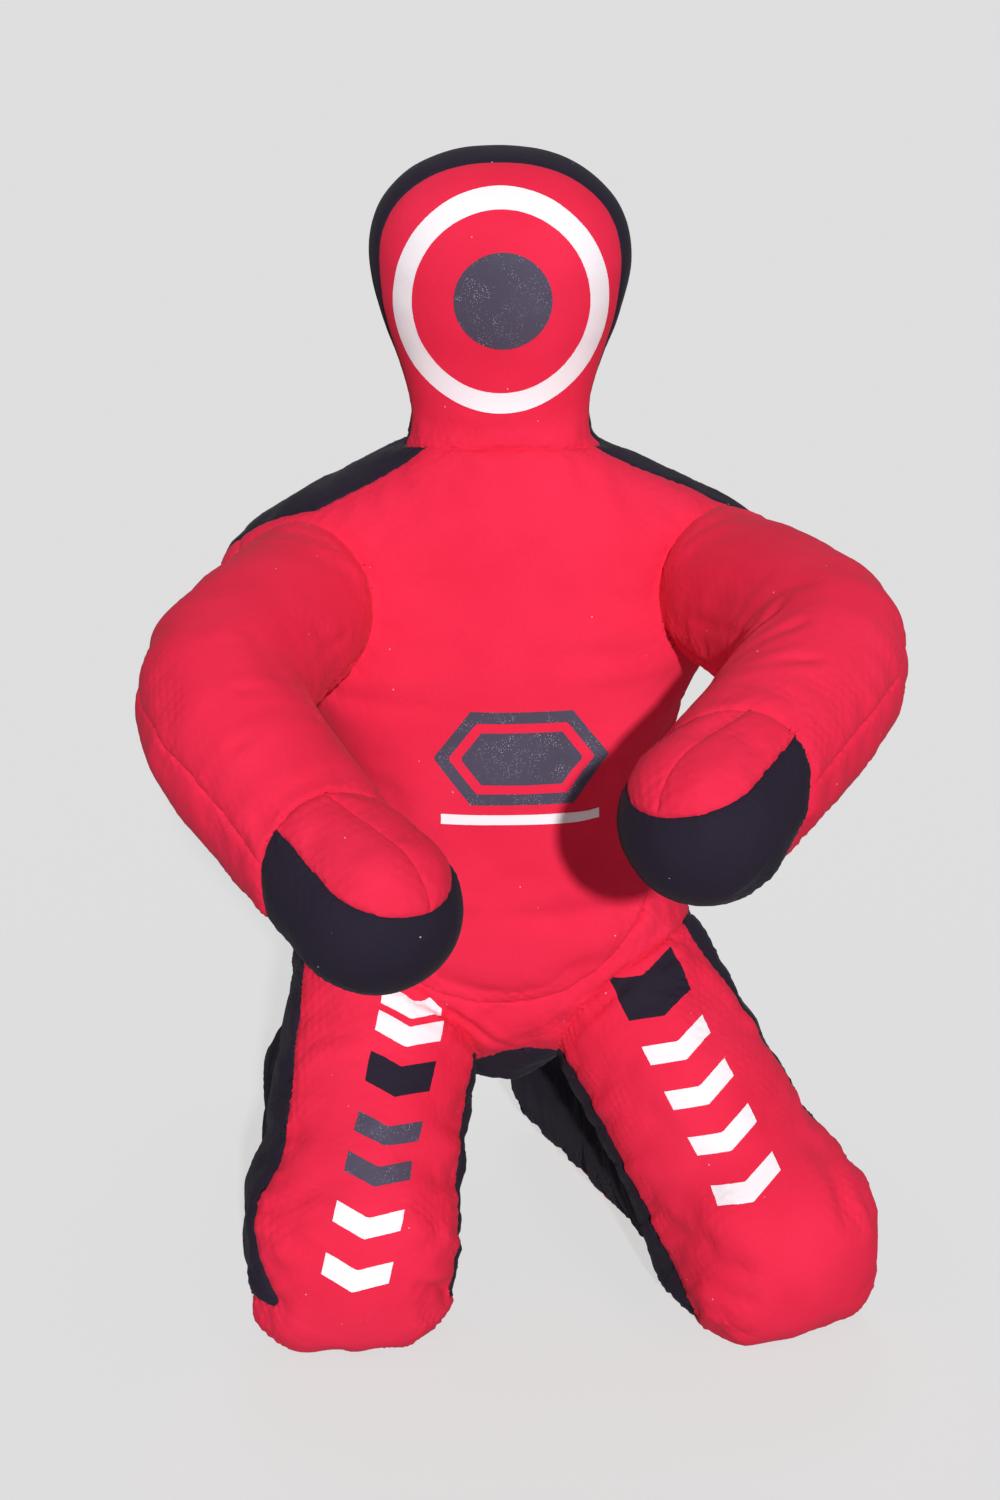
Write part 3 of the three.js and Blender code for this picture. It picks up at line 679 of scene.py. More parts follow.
def build_skin():
    margin = 0.02
    low, high = np.array(cad_low) - SHIFT - margin, np.array(cad_high) - SHIFT + margin
    points, quads = grid_mesh(low, high, GRID)
    edges = quad_edges(quads)
    for _ in range(3):
        points = onto_surface(points + 0.6 * (neighbour_mean(points, edges, len(points)) - points), 1)
    push = filled_out(points, quads)
    quads, (points, push) = subdivide(quads, [points, push])
    points = onto_surface(points, 1)
    return Skin(halves(quads), rest=points, push=push, seams=seam_fields(points))


def seam_edges(skin):
    """The edges where two panels meet, and which seam each lies on."""
    pairs = np.sort(skin.faces[:, [0, 1, 1, 2, 2, 0]].reshape(-1, 2), axis=1)
    owner = np.repeat(skin.panel, 3)
    order = np.lexsort((pairs[:, 1], pairs[:, 0]))
    pairs, owner = pairs[order], owner[order]
    same = np.all(pairs[1:] == pairs[:-1], axis=1) & (owner[1:] != owner[:-1])
    pairs = pairs[1:][same]
    on = np.maximum(np.abs(skin.seams[pairs[:, 0]]), np.abs(skin.seams[pairs[:, 1]])).argmin(1)
    return pairs, on


def nearest_sample(points, samples):
    tree = KDTree(len(samples))
    for i, sample in enumerate(samples):
        tree.insert(sample, i)
    tree.balance()
    found = [tree.find(point)[1:] for point in points]
    index, distance = zip(*found)
    return np.array(index), np.array(distance)


# How deep each seam pulls the cloth in, how strongly the cloth gathers beside it and how far that reaches.
GATHERS = {
    "neck": (1.0, 0.0020, 0.024),
    "head_side": (0.8, 0.0006, 0.012),
    "torso_side": (0.8, 0.0010, 0.018),
    "belly": (0.9, 0.0020, 0.020),
    "gusset": (0.8, 0.0012, 0.016),
    "zip": (0.8, 0.0008, 0.015),
    "legs_apart": (1.0, 0.0020, 0.020),
    "armhole": (1.1, 0.0026, 0.030),
    "mid_arm": (0.0, 0.0, 0.010),
    "under_arm": (0.8, 0.0014, 0.020),
    "wrist": (1.2, 0.0026, 0.026),
    "hand_edge": (0.8, 0.0010, 0.016),
    "hand_side": (0.5, 0.0008, 0.014),
    "groin": (1.2, 0.0028, 0.030),
    "mid_thigh": (0.0, 0.0, 0.010),
    "leg_side": (1.0, 0.0075, 0.036),
}


SOFT_SPLITS = ("mid_arm", "mid_thigh")  # where a panel is taken apart so that it can bend, with no seam


def kind_of(seam):
    for side in SIDES:
        seam = seam.removesuffix(f"_{side}")
    return seam


def seam_samples(skin):
    """Points along the sewn seams with the kind of seam that each lies on, and the seams' edges."""
    pairs, on = seam_edges(skin)
    kind = np.array([GATHERS[kind_of(name)] for name in SEAMS])
    sewn = kind[on, 0] > 0
    pairs, on = pairs[sewn], on[sewn]
    t = np.linspace(0, 1, 5, endpoint=False)[:, None, None]
    samples = (skin.rest[pairs[:, 0]] * (1 - t) + skin.rest[pairs[:, 1]] * t).reshape(-1, 3)
    return samples, kind[np.tile(on, 5)], pairs


# ---------------------------------------------------------------- the cloth simulation
SIM_FRAMES, SIM_PRESSURE = 12, 4.0
SIM_SPARE = 0.07  # how much longer and wider the cloth is cut than the body it goes round
SIM_HELD = 0.007  # how far from a seam the cloth is still held
SIM_MOST = 0.008  # how far the cloth may move
SIM_EVEN, SIM_ROUNDS = 0.25, 12  # how much even swelling is kept beside the folds, and how it is averaged


def taut(p):
    """How much of its folds the cloth keeps: few on the head, and fewer on the chest and arms than below."""
    upper = 1.0 - 0.35 * ramp(p[:, 2], 0.42, 0.60)
    return upper * (1 - 0.88 * ramp(p[:, 2], 0.94, 0.99))


def filled_out(points, quads):
    """How far each point moves when the cloth, cut with some to spare, is filled while its seams hold it."""
    skin = Skin(halves(quads), rest=points, seams=seam_fields(points))
    cut_seams(skin)
    distance = nearest_sample(points, seam_samples(skin)[0])[1]
    mesh = bpy.data.meshes.new("bag")
    mesh.from_pydata(points.tolist(), [], quads.tolist())
    bag = bpy.data.objects.new("bag", mesh)
    stage = bpy.context.scene
    stage.collection.objects.link(bag)
    held = bag.vertex_groups.new(name="held")
    for i in np.flatnonzero(distance < SIM_HELD):
        held.add([int(i)], float(1 - distance[i] / SIM_HELD) ** 0.5, "REPLACE")
    cloth = bag.modifiers.new("cloth", "CLOTH")
    settings = cloth.settings
    settings.quality = 4
    settings.mass = 0.3
    settings.bending_stiffness = 0.2
    settings.use_pressure = True
    settings.uniform_pressure_force = SIM_PRESSURE
    settings.shrink_min = -SIM_SPARE
    settings.vertex_group_mass = "held"
    settings.effector_weights.gravity = 0
    cloth.point_cache.frame_start, cloth.point_cache.frame_end = 1, SIM_FRAMES
    for number in range(1, SIM_FRAMES + 1):
        stage.frame_set(number)
    filled = bag.evaluated_get(bpy.context.evaluated_depsgraph_get()).data
    moved = np.empty(len(points) * 3, np.float32)
    filled.vertices.foreach_get("co", moved)
    push = moved.reshape(-1, 3) - points
    bpy.data.objects.remove(bag)
    bpy.data.meshes.remove(mesh)
    stage.frame_set(1)
    edges = quad_edges(quads)
    even = push
    for _ in range(SIM_ROUNDS):
        even = neighbour_mean(even, edges, len(points))
    push = neighbour_mean(push, edges, len(points)) - (1 - SIM_EVEN) * even
    push *= taut(points)[:, None]
    size = np.linalg.norm(push, axis=1)
    return push * (SIM_MOST * np.tanh(size / SIM_MOST) / np.maximum(size, 1e-9))[:, None]


# Single folds, pressed into the cloth: the two places that each runs between, how deep it is and how wide.
FOLDS = (
    ((-0.110, -0.150, 0.375), (0.010, -0.094, 0.283), 0.0050, 0.0050),
    ((-0.085, -0.140, 0.335), (-0.006, -0.075, 0.245), 0.0035, 0.0045),
    ((0.205, -0.075, 0.415), (0.069, -0.091, 0.271), 0.0050, 0.0050),
    ((0.190, -0.105, 0.370), (0.090, -0.110, 0.262), 0.0035, 0.0045),
    ((-0.076, -0.050, 0.946), (0.045, -0.069, 0.949), 0.0016, 0.0040),
    ((-0.150, -0.184, 0.772), (-0.186, -0.320, 0.758), 0.0040, 0.0060),
    ((0.188, -0.176, 0.786), (0.230, -0.300, 0.800), 0.0035, 0.0060),
    ((0.215, -0.372, 0.792), (0.276, -0.356, 0.834), 0.0045, 0.0050),
    ((0.210, -0.350, 0.780), (0.262, -0.308, 0.842), 0.0040, 0.0055),
    ((0.218, -0.402, 0.795), (0.288, -0.400, 0.814), 0.0035, 0.0050),
    ((-0.176, -0.350, 0.735), (-0.240, -0.404, 0.732), 0.0045, 0.0055),
    ((-0.176, -0.330, 0.745), (-0.238, -0.366, 0.771), 0.0035, 0.0050),
    ((-0.086, -0.276, 0.094), (-0.050, -0.240, 0.068), 0.0060, 0.0060),
    ((0.222, -0.456, 0.790), (0.172, -0.494, 0.774), 0.0025, 0.0050),
)
# The bed that the zip lies in: half its width, its bottom and top, and how far back the skin may come there.
ZIP_HALF, ZIP_BOTTOM, ZIP_TOP, ZIP_BACK = 0.016, 0.505, 0.805, 0.1176


def single_folds(p):
    """How far the cloth sinks in and rises beside each of the single folds. They fade out at their ends."""
    total = np.zeros(len(p))
    for start, end, depth, width in FOLDS:
        start, end = np.array(start), np.array(end)
        reach = 6 * width
        close = np.all((p > np.minimum(start, end) - reach) & (p < np.maximum(start, end) + reach), axis=1)
        q = p[close] - start
        way = end - start
        t = np.clip(q @ way / (way @ way), 0, 1)
        away = np.linalg.norm(q - t[:, None] * way, axis=1)
        away = away + 0.2 * width * lattice_noise(p[close], 0.020, 9)
        strength = depth * (0.35 + 0.65 * np.sin(np.pi * np.clip(t, 0.03, 0.97)))
        total[close] -= strength * np.exp(-((away / width) ** 2))
        total[close] += 0.45 * strength * np.exp(-(((away - 2.3 * width) / (1.2 * width)) ** 2))
    return total


def stitch(skin):
    """Sinks the seams into the skin and gathers the cloth beside them, and leaves the shaped points."""
    samples, kinds, pairs = seam_samples(skin)
    folds = lattice_noise(samples, 0.010, 1) * 0.5 + lattice_noise(samples, 0.019, 2)
    folds *= 0.65 + 0.35 * lattice_noise(samples, 0.09, 3)
    folds *= np.where(kinds[:, 1] > 0.003, 1.25 - 0.95 * ramp(samples[:, 2], 0.05, 0.42), 1)
    index, distance = nearest_sample(skin.rest, samples)
    distance[np.unique(pairs)] = 0
    groove = kinds[index, 0] * np.exp(-distance / SEAM_WIDTH)
    gather = kinds[index, 1] * folds[index] * np.exp(-((distance / kinds[index, 2]) ** 2))
    gather *= 0.25 + 0.75 * ramp(distance, 0, 0.008)
    swell = 0.0020 * (1 - np.exp(-((distance / 0.03) ** 2)))
    from_line, from_inner_line = distance - STITCHED, distance - STITCHED / 3
    skin.arrays["shape"] = np.column_stack([from_line, from_inner_line, groove, gather, swell])
    skin.cut("shape", 0)
    skin.cut("shape", 1)
    base = skin.rest + skin.push
    normal = normals_of(base, skin.faces)
    wander = 0.0016 * lattice_noise(skin.rest, 0.085, 4) + 0.0006 * lattice_noise(skin.rest, 0.030, 5)
    wander += single_folds(skin.rest)
    groove = skin.shape[:, 2]
    rise = skin.shape[:, 3] + skin.shape[:, 4] + wander * (1 - groove) - SEAM_DEPTH * groove
    points = base + normal * rise[:, None]
    points[:, 2] = np.maximum(points[:, 2], 0)
    beside, height = np.abs(points[:, 0]), points[:, 2]
    under_zip = (beside < ZIP_HALF) & (height > ZIP_BOTTOM) & (height < ZIP_TOP)
    points[under_zip, 1] = np.minimum(points[under_zip, 1], ZIP_BACK)
    skin.arrays["points"] = points
    skin.arrays["normals"] = normals_of(points, skin.faces)


# ---------------------------------------------------------------- materials
RED, RED_SHADE = (0.86, 0.028, 0.080), (0.72, 0.016, 0.050)
BLACK, BLACK_SHADE = (0.024, 0.018, 0.033), (0.017, 0.013, 0.024)
WHITE, WHITE_SHADE = (0.95, 0.90, 0.94), (0.88, 0.84, 0.88)
GREY, GREY_SHADE = (0.095, 0.084, 0.130), (0.050, 0.044, 0.070)
ZIP_METAL, ZIP_METAL_WORN = (0.42, 0.42, 0.44), (0.28, 0.28, 0.30)


class Nodes:
    """Adds nodes to a material's tree by their short type names."""

    def __init__(self, material):
        material.use_nodes = True
        self.tree = material.node_tree
        self.shader = self.tree.nodes["Principled BSDF"]
        self.place = self.add("TexCoord").outputs["Object"]

    def add(self, kind, **values):
        prefix = "ShaderNodeTex" if kind in ("Noise", "Voronoi") else "ShaderNode"
        node = self.tree.nodes.new(prefix + kind)
        for key, value in values.items():
            if key in node.inputs:
                node.inputs[key].default_value = value
            else:
                setattr(node, key, value)
        return node

    def link(self, source, target):
        self.tree.links.new(source, target)

    def noise(self, scale, detail=2.0, roughness=0.5):
        node = self.add("Noise", Scale=scale, Detail=detail, Roughness=roughness)
        self.link(self.place, node.inputs["Vector"])
        return node.outputs["Fac"]

    def math(self, operation, a, b):
        node = self.add("Math", operation=operation)
        for source, socket in ((a, node.inputs[0]), (b, node.inputs[1])):
            if isinstance(source, (int, float)):
                socket.default_value = source
            else:
                self.link(source, socket)
        return node.outputs[0]

    def mix(self, factor, a, b):
        node = self.add("Mix", data_type="RGBA")
        for source, socket in ((factor, node.inputs[0]), (a, node.inputs[6]), (b, node.inputs[7])):
            if isinstance(source, tuple):
                socket.default_value = (*source, 1)
            elif isinstance(source, (int, float)):
                socket.default_value = source
            else:
                self.link(source, socket)
        return node.outputs[2]

    def bump(self, height, strength, distance):
        node = self.add("Bump", Strength=strength, Distance=distance)
        self.link(height, node.inputs["Height"])
        self.link(node.outputs["Normal"], self.shader.inputs["Normal"])

    def span(self, value, low, high):
        node = self.add("MapRange")
        self.link(value, node.inputs["Value"])
        node.inputs["From Min"].default_value = low
        node.inputs["From Max"].default_value = high
        return node.outputs["Result"]


LINT, GLITTER_GLINT = (0.75, 0.70, 0.75), (0.62, 0.58, 0.70)  # the specks' colours: lint, and the painted glint of the glitter's flakes
CLOUDY, GRAINY = 0.55, 0.22  # how much of the shade comes in clouds, and how much in the cloth's grain
LINT_SIZE, FLAKE_SIZE = 0.030, 0.22  # shares of the way from one speck to the next
WEAVE_BUMP = (0.35, 0.0006)
CLOTH_SHINE, SHEEN_SPREAD = 0.08, 0.45


def cloth_material(name, colour, shade, lint, sheen, roughness, glitter_glint=0.0):
    material = bpy.data.materials.new(name)
    nodes = Nodes(material)
    cloudy = nodes.span(nodes.noise(7.0, 4.0), 0.35, 0.65)
    grain = nodes.span(nodes.noise(420.0, 3.0, 0.7), 0.3, 0.7)
    base = nodes.mix(nodes.math("MULTIPLY", cloudy, CLOUDY), colour, shade)
    base = nodes.mix(nodes.math("MULTIPLY", grain, GRAINY), base, shade)
    specks = nodes.add("Voronoi", Scale=38.0)
    nodes.link(nodes.place, specks.inputs["Vector"])
    speck = nodes.math("LESS_THAN", specks.outputs["Distance"], LINT_SIZE)
    base = nodes.mix(nodes.math("MULTIPLY", speck, lint), base, LINT)
    if glitter_glint:
        # The glitter's flakes: pale specks in patches, a painted glint mixed into the print's colour where
        # the flakes would catch the light.
        flakes = nodes.add("Voronoi", Scale=520.0)
        nodes.link(nodes.place, flakes.inputs["Vector"])
        painted_glint = nodes.math("LESS_THAN", flakes.outputs["Distance"], FLAKE_SIZE)
        glint_patches = nodes.span(nodes.noise(60.0, 3.0), 0.45, 0.70)
        painted_glint = nodes.math("MULTIPLY", painted_glint, glint_patches)
        base = nodes.mix(nodes.math("MULTIPLY", painted_glint, glitter_glint), base, GLITTER_GLINT)
    nodes.link(base, nodes.shader.inputs["Base Color"])
    coarse = nodes.math("MULTIPLY", nodes.noise(160.0, 2.0), 0.8)
    weave = nodes.math("ADD", nodes.noise(850.0, 2.0, 0.6), coarse)
    nodes.bump(weave, *WEAVE_BUMP)
    rough = nodes.math("MULTIPLY_ADD", grain, 0.12)
    rough.node.inputs[2].default_value = roughness
    nodes.link(rough, nodes.shader.inputs["Roughness"])
    nodes.shader.inputs["Sheen Weight"].default_value = sheen
    nodes.shader.inputs["Sheen Roughness"].default_value = SHEEN_SPREAD
    nodes.shader.inputs["Specular IOR Level"].default_value = CLOTH_SHINE
    return material


def metal_material():
    material = bpy.data.materials.new("zip_metal")
    nodes = Nodes(material)
    worn = nodes.span(nodes.noise(90.0, 3.0), 0.35, 0.65)
    nodes.link(nodes.mix(worn, ZIP_METAL, ZIP_METAL_WORN), nodes.shader.inputs["Base Color"])
    nodes.bump(nodes.noise(600.0, 2.0), 0.10, 0.0002)
    nodes.shader.inputs["Metallic"].default_value = 1.0
    nodes.shader.inputs["Roughness"].default_value = 0.36
    return material


# ---------------------------------------------------------------- pieces
SKIN_THICKNESS = 0.0020
PRINT_PROUD = 0.0005


def shell(part, outer, inner):
    """Closed points, faces and normals: the part's surface moved out and in, and joined at the rim."""
    count = len(part.points)
    points = np.vstack([part.points + part.normals * outer, part.points - part.normals * inner])
    directed = part.faces[:, [0, 1, 1, 2, 2, 0]].reshape(-1, 2)
    keys = np.sort(directed, axis=1)
    _, first, number = np.unique(keys, axis=0, return_index=True, return_counts=True)
    a, b = directed[first[number == 1]].T
    rim = np.vstack([np.column_stack([b, a, a + count]), np.column_stack([b, a + count, b + count])])
    faces = np.vstack([part.faces, part.faces[:, ::-1] + count, rim])
    return points, faces, np.vstack([part.normals, -part.normals])


def sewn_normals(part):
    """The part's own normals, so that its edges turn in at a seam, but the whole skin's where no seam is."""
    own = normals_of(part.points, part.faces)
    for name in SEAMS:
        if kind_of(name) in SOFT_SPLITS:
            on = np.abs(part.seams[:, SEAM[name]]) < 1e-4
            own[on] = part.normals[on]
    part.arrays["normals"] = own


def make_piece(name, part, materials, slot, outer=0.0, inner=SKIN_THICKNESS):
    points, faces, normals = shell(part, outer, inner)
    points[:, 2] = np.maximum(points[:, 2], 0)
    mesh = bpy.data.meshes.new(name)
    mesh.from_pydata((points + SHIFT).tolist(), [], faces.tolist())
    mesh.shade_smooth()
    mesh.normals_split_custom_set_from_vertices(normals.tolist())
    mesh.materials.append(materials[slot])
    made = bpy.data.objects.new(name, mesh)
    bpy.context.scene.collection.objects.link(made)
    return made


NECK_BEND = (-0.005, 0.060)  # where the neck starts and stops bending, above its joint
ELBOW_BEND, KNEE_BEND = 0.080, 0.055  # how much length their bends take


def bend_of(skin, panels, seam_before, seam_after, pivot, way, length=None):
    """Where a set of panels starts and stops bending: past the seam before it and, unless length says how far
    it takes, short of the seam after it."""
    vertices = np.unique(skin.faces[np.isin(skin.panel, [PANELS.index(name) for name in panels])])
    run = (skin.rest[vertices] - pivot) @ way
    on = np.abs(skin.seams[vertices][:, [SEAM[seam_before], SEAM[seam_after]]]) < 1e-4
    start = run[on[:, 0]].max()
    stop = run[on[:, 1]].min() if length is None else start + length
    return [tuple(pivot + way * at + SHIFT) for at in (start, max(stop, start + 0.02))]


def bends(skin):
    """How the panels on each body bend: the body before it, the body itself, and the two points."""
    neck = [tuple(PIVOT["neck_nod"] + SHIFT + (0, 0, rise)) for rise in NECK_BEND]
    out = {"head": ("torso", "head", *neck)}
    for side in SIDES:
        arm, leg = ARMS[side], LEGS[side]
        way = unit(arm.elbow - arm.shoulder)
        panels = [f"upper_arm_top_{side}", f"upper_arm_under_{side}"]
        points = bend_of(skin, panels, f"armhole_{side}", f"mid_arm_{side}", arm.shoulder, way)
        out[f"upper_arm_{side}"] = ("torso", f"upper_arm_{side}", *points)
        both = unit(way + unit(arm.wrist - arm.elbow))
        panels = [f"forearm_top_{side}", f"forearm_under_{side}"]
        points = bend_of(skin, panels, f"mid_arm_{side}", f"wrist_{side}", arm.elbow, both, ELBOW_BEND)
        out[f"forearm_{side}"] = (f"upper_arm_{side}", f"forearm_{side}", *points)
        panels = [f"thigh_front_{side}", f"thigh_back_{side}"]
        points = bend_of(skin, panels, f"groin_{side}", f"mid_thigh_{side}", leg.hip, leg.thigh_way)
        out[f"thigh_{side}"] = ("torso", f"thigh_{side}", *points)
        both = unit(leg.thigh_way + leg.shin_way)
        panels = [f"shin_front_{side}", f"shin_back_{side}"]
        points = bend_of(skin, panels, f"mid_thigh_{side}", f"leg_side_{side}", leg.knee, both, KNEE_BEND)
        out[f"shin_{side}"] = (f"thigh_{side}", f"shin_{side}", *points)
    return out


def attach(piece, panel, bend):
    """Hangs a hand's piece on its forearm's body and a trunk piece on the torso's body. A piece on the head
    or a limb is only baked where it stands.
    """
    side = panel.rsplit("_", 1)[-1]
    part = panel.split("_")[0]
    body = {part: f"{part}_{side}" for part in ("forearm", "thigh", "shin")}
    body.update(head="head", upper=f"upper_arm_{side}")
    if part == "hand":
        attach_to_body(piece, f"forearm_{side}")
    elif part in body:
        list(bend[body[part]])
        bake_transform(piece)
    else:
        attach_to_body(piece, "torso")


def nodes_behind(panel):
    """The CAD nodes that a panel's skin stands for."""
    side = panel.rsplit("_", 1)[-1]
    if panel == "hip_front":
        return ["torso_filling"]
    if panel == "crotch_gusset":
        return ["crotch_gusset"]
    if panel.startswith(("torso_front", "head")):
        return [f"{panel}_panel"] + (["head_filling"] if panel == "head_front" else [])
    stem = panel.removesuffix(f"_{side}")
    nodes = [f"{stem}_panel_{side}"]
    if stem in ("upper_arm_top", "forearm_top", "thigh_front", "shin_front"):
        nodes.append(f"{stem.rsplit('_', 1)[0]}_filling_{side}")
    return nodes


def make_skins(skin, bend, materials):
    for i, panel in enumerate(PANELS):
        part = skin.part(skin.panel == i)
        sewn_normals(part)
        dark = any(word in panel for word in ("back", "gusset", "palm"))
        piece = make_piece(f"{panel}_skin", part, materials, "black_canvas" if dark else "red_canvas")
        attach(piece, panel, bend)
        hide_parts(*nodes_behind(panel))


# ---------------------------------------------------------------- prints
# Middles and half sizes, across and up.
TARGET = (0.001, 1.0845)
RING_OUT, RING_IN, DOT = (0.1065, 0.111), (0.0875, 0.0905), 0.048
DOT_MIDDLE = (0.003, 1.088)
EMBLEM, EMBLEM_HALF, EMBLEM_LINE, EMBLEM_GAP = (0.0225, 0.627), (0.090, 0.050), 0.012, 0.010
BAR, BAR_HALF = (0.0222, 0.5605), (0.082, 0.0055)


def oval(middle, radii):
    def field(p):
        away = np.hypot((p[:, 0] - middle[0]) / radii[0], (p[:, 2] - middle[1]) / radii[1])
        return (away - 1) * min(radii)

    return field


def opposite(field):
    return lambda p: -field(p)


def hexagon_sides(middle, half, inset):
    """The outlines of a long hexagon: its level edges and its four slanted ones, all moved in by inset."""
    wide, tall = half
    slant = unit((tall, wide * 0.42))

    def level(p):
        return np.abs(p[:, 2] - middle[1]) - tall + inset

    def slanted(p):
        x, z = np.abs(p[:, 0] - middle[0]), np.abs(p[:, 2] - middle[1])
        return (x - wide) * slant[0] + z * slant[1] + inset

    return [level, slanted]


def rectangle(middle, half):
    return [lambda p, i=i, k=k: np.abs(p[:, k] - middle[i]) - half[i] for i, k in ((0, 0), (1, 2))]


def make_print(name, skin, panels, outlines, slot, materials, bend):
    """Cuts a flat mark out of a copy of the skin. A mark lies inside every one of its outlines."""
    part = skin.part(np.isin(skin.panel, [PANELS.index(panel) for panel in panels]))
    for outline in outlines:
        part.arrays["mark"] = outline(part.rest)[:, None]
        part.cut("mark", 0)
        part = part.part(part.face_mean("mark", 0) < 0)
    piece = make_piece(f"{name}_print", part, materials, slot, PRINT_PROUD, PRINT_PROUD / 2)
    attach(piece, panels[0], bend)
    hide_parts(name)


MARK_WIDTH, MARK_POINT, MARK_STROKE = 0.068, 0.40, 0.021
# Where the marks' middle line runs, from the thigh's: at the hip, and for each metre down.
MARKS_MIDDLE = {"right": (0.032, -0.075), "left": (0.042, -0.060)}
# Each mark's start and stop, down the thigh from the hip, how many strokes it has, and its slot.
THIGH_MARKS = {
    "right": (
        (0.030, 0.094, 2, "white_print"),
        (0.102, 0.148, 1, "black_canvas"),
        (0.166, 0.244, 2, "grey_print"),
        (0.262, 0.348, 2, "white_print"),
    ),
    "left": (
        (0.004, 0.070, 1, "black_canvas"),
        (0.086, 0.172, 2, "white_print"),
        (0.190, 0.280, 2, "white_print"),
    ),
}


def chevron_outlines(side, start, stop, strokes):
    """The outlines of a chevron that points down the thigh. With two strokes, a gap parts it."""
    leg = LEGS[side]
    sideways = np.cross(leg.thigh_way, leg.front)
    sideways *= np.sign(sideways[0])
    half, middle = MARK_WIDTH / 2, MARKS_MIDDLE[side]

    def across(p):
        down = (p - leg.hip) @ leg.thigh_way
        return np.abs((p - leg.hip) @ sideways - middle[0] - middle[1] * down)

    def below(p):
        return (p - leg.hip) @ leg.thigh_way + MARK_POINT * across(p)

    def front(p):
        return -(p - leg.hip) @ leg.front

    first, last = start + MARK_POINT * half, stop
    outlines = [front, lambda p: across(p) - half, lambda p: first - below(p), lambda p: below(p) - last]
    if strokes == 2:
        gap = (last - first - 2 * MARK_STROKE) / 2
        outlines.append(lambda p: gap - np.abs(below(p) - (first + last) / 2))
    return outlines


def make_prints(skin, bend, materials):
    def front(p):
        return p[:, 1] + 0.02

    def add(name, panel, outlines, slot):
        make_print(name, skin, [panel], outlines, slot, materials, bend)

    head, belly = "head_front", "torso_front"
    ring = [front, oval(TARGET, RING_OUT), opposite(oval(TARGET, RING_IN))]
    add("target_ring", head, ring, "white_print")
    add("target_dot", head, [front, oval(DOT_MIDDLE, (DOT, DOT))], "grey_print")
    whole = hexagon_sides(EMBLEM, EMBLEM_HALF, 0)
    core = hexagon_sides(EMBLEM, EMBLEM_HALF, EMBLEM_LINE + EMBLEM_GAP)
    hole = hexagon_sides(EMBLEM, EMBLEM_HALF, EMBLEM_LINE)

    def outside_hole(p):
        return -np.maximum(hole[0](p), hole[1](p))

    outline = [front, *whole, outside_hole]
    add("belly_emblem_outline", belly, outline, "grey_print")
    add("belly_emblem_core", belly, [front, *core], "grey_print")
    add("belly_bar", belly, [front, *rectangle(BAR, BAR_HALF)], "white_print")
    for side in SIDES:
        for number, (start, stop, strokes, slot) in enumerate(THIGH_MARKS[side], 1):
            past = (start + stop) / 2 > MID_THIGH[side]
            panel = f"{'shin' if past else 'thigh'}_front_{side}"
            outlines = chevron_outlines(side, start, stop, strokes)
            add(f"thigh_chevron_{number}_{side}", panel, outlines, slot)


# ---------------------------------------------------------------- stage
CAMERA_PLACE = (-0.0232, -2.3863, 1.45)
CAMERA_DOWN = 19.0  # degrees
CAMERA_LENS = 58.5  # millimetres
CAMERA_REACH = 400.0
BACKGROUND = 0.737
STAGE_RADIUS, STAGE_SIDES, WALL_HEIGHT = 60.0, 64, 60.0
# Each lamp's name, its direction in degrees right of the front and up, its strength and its width in degrees.
LAMPS = (("key", (7.0, 22.0), 3.0, 2.0), ("back", (180.0, 40.0), 0.35, 20.0))
AMBIENT = 0.24
FLOOR_BASE, FLOOR_LIT = 0.20, 0.68  # the floor's own grey, and how strongly the lamps light it


def glowing(name, light, base):
    material = bpy.data.materials.new(name)
    material.use_nodes = True
    shader = material.node_tree.nodes["Principled BSDF"]
    shader.inputs["Base Color"].default_value = (base, base, base, 1)
    shader.inputs["Roughness"].default_value = 1.0
    shader.inputs["Specular IOR Level"].default_value = 0.0
    shader.inputs["Emission Color"].default_value = (1, 1, 1, 1)
    shader.inputs["Emission Strength"].default_value = light
    return material


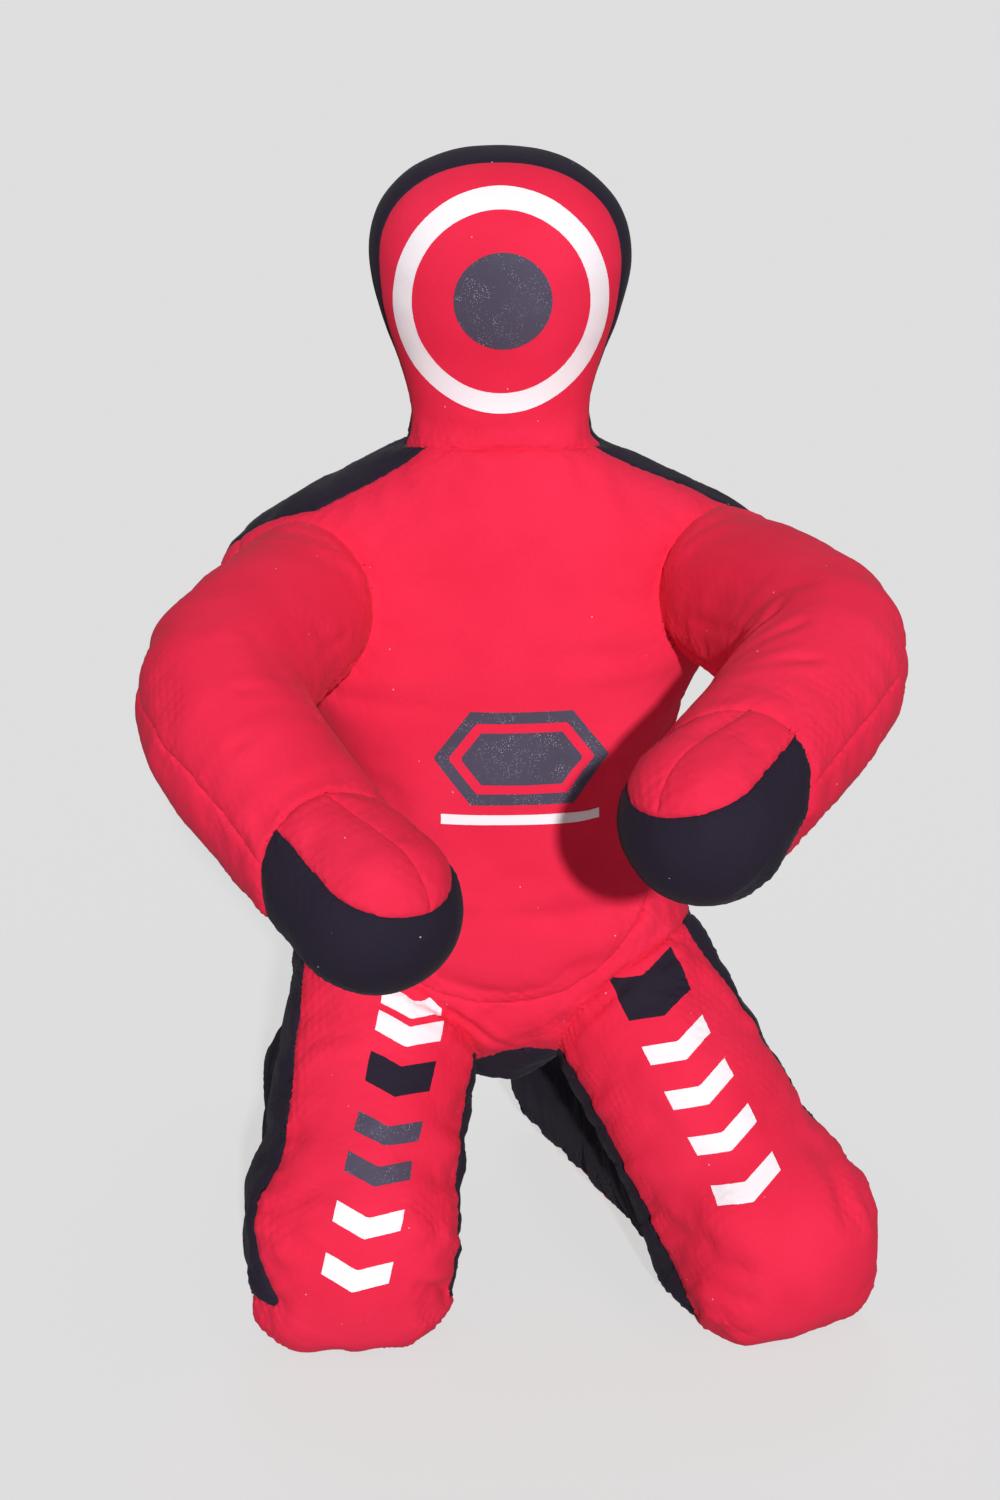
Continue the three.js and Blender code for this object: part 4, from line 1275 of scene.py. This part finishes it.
def make_stage():
    scene = bpy.context.scene
    count = STAGE_SIDES
    turns = np.linspace(0, math.tau, count + 1)[:-1]
    around = [(STAGE_RADIUS * math.cos(a), STAGE_RADIUS * math.sin(a)) for a in turns]
    floor_mesh = bpy.data.meshes.new("floor")
    floor_mesh.from_pydata([(x, y, -0.0005) for x, y in around], [], [tuple(range(count))])
    backdrop_mesh = bpy.data.meshes.new("backdrop")
    wall = [(x, y, z) for z in (-1, WALL_HEIGHT) for x, y in around]
    sides = [(i, (i + 1) % count, count + (i + 1) % count, count + i) for i in range(count)]
    backdrop_mesh.from_pydata(wall, [], sides)
    for mesh, name, light, base in (
        (floor_mesh, "floor", BACKGROUND - FLOOR_BASE * FLOOR_LIT, FLOOR_BASE),
        (backdrop_mesh, "backdrop", BACKGROUND, 0.0),
    ):
        made = bpy.data.objects.new(name, mesh)
        scene.collection.objects.link(made)
        mesh.materials.append(glowing(f"pale_{name}", light, base))
        made.visible_diffuse = False
        made.visible_glossy = False
        made.visible_shadow = False
    world = bpy.data.worlds.new("studio")
    scene.world = world
    world.use_nodes = True
    world.node_tree.nodes["Background"].inputs["Color"].default_value = (1, 1, 1, 1)
    world.node_tree.nodes["Background"].inputs["Strength"].default_value = AMBIENT
    for name, at, strength, width in LAMPS:
        light = bpy.data.lights.new(name, "SUN")
        light.energy = strength
        light.angle = math.radians(width)
        lamp = bpy.data.objects.new(name, light)
        scene.collection.objects.link(lamp)
        right, up = (math.radians(v) for v in at)
        toward = Vector((math.sin(right) * math.cos(up), -math.cos(right) * math.cos(up), math.sin(up)))
        lamp.rotation_euler = toward.to_track_quat("Z", "Y").to_euler()
    camera_data = bpy.data.cameras.new("camera")
    camera_data.lens = CAMERA_LENS
    camera = bpy.data.objects.new("camera", camera_data)
    scene.collection.objects.link(camera)
    camera.location = CAMERA_PLACE
    camera.rotation_euler = (math.radians(90 - CAMERA_DOWN), 0, 0)
    camera_data.clip_end = CAMERA_REACH
    scene.camera = camera
    scene.view_settings.view_transform = "Standard"


def make_materials():
    return {
        "red_canvas": cloth_material("red_cloth", RED, RED_SHADE, 0.5, 0.02, 0.78),
        "black_canvas": cloth_material("black_cloth", BLACK, BLACK_SHADE, 0.6, 0.03, 0.74),
        "white_print": cloth_material("white_print", WHITE, WHITE_SHADE, 0.0, 0.0, 0.55),
        "grey_print": cloth_material("grey_print", GREY, GREY_SHADE, 0.0, 0.0, 0.45, 0.75),
        "zip_metal": metal_material(),
        "zip_tape": cloth_material("zip_tape", BLACK, BLACK_SHADE, 0.0, 0.0, 0.80),
    }


ZIP_SLOTS = {
    "zip_tape": "zip_tape",
    "zip_chain": "zip_metal",
    "zip_slider": "zip_metal",
    "zip_pull": "zip_metal",
}


def dress_zip(materials):
    """The zip is shown as its own CAD nodes. They only get their materials here."""
    for node, slot in ZIP_SLOTS.items():
        mesh = frame["nodes"][node].data
        mesh.materials.clear()
        mesh.materials.append(materials[slot])


def main():
    skin = build_skin()
    cut_seams(skin)
    stitch(skin)
    bend = bends(skin)
    materials = make_materials()
    make_skins(skin, bend, materials)
    make_prints(skin, bend, materials)
    dress_zip(materials)
    make_stage()


main()
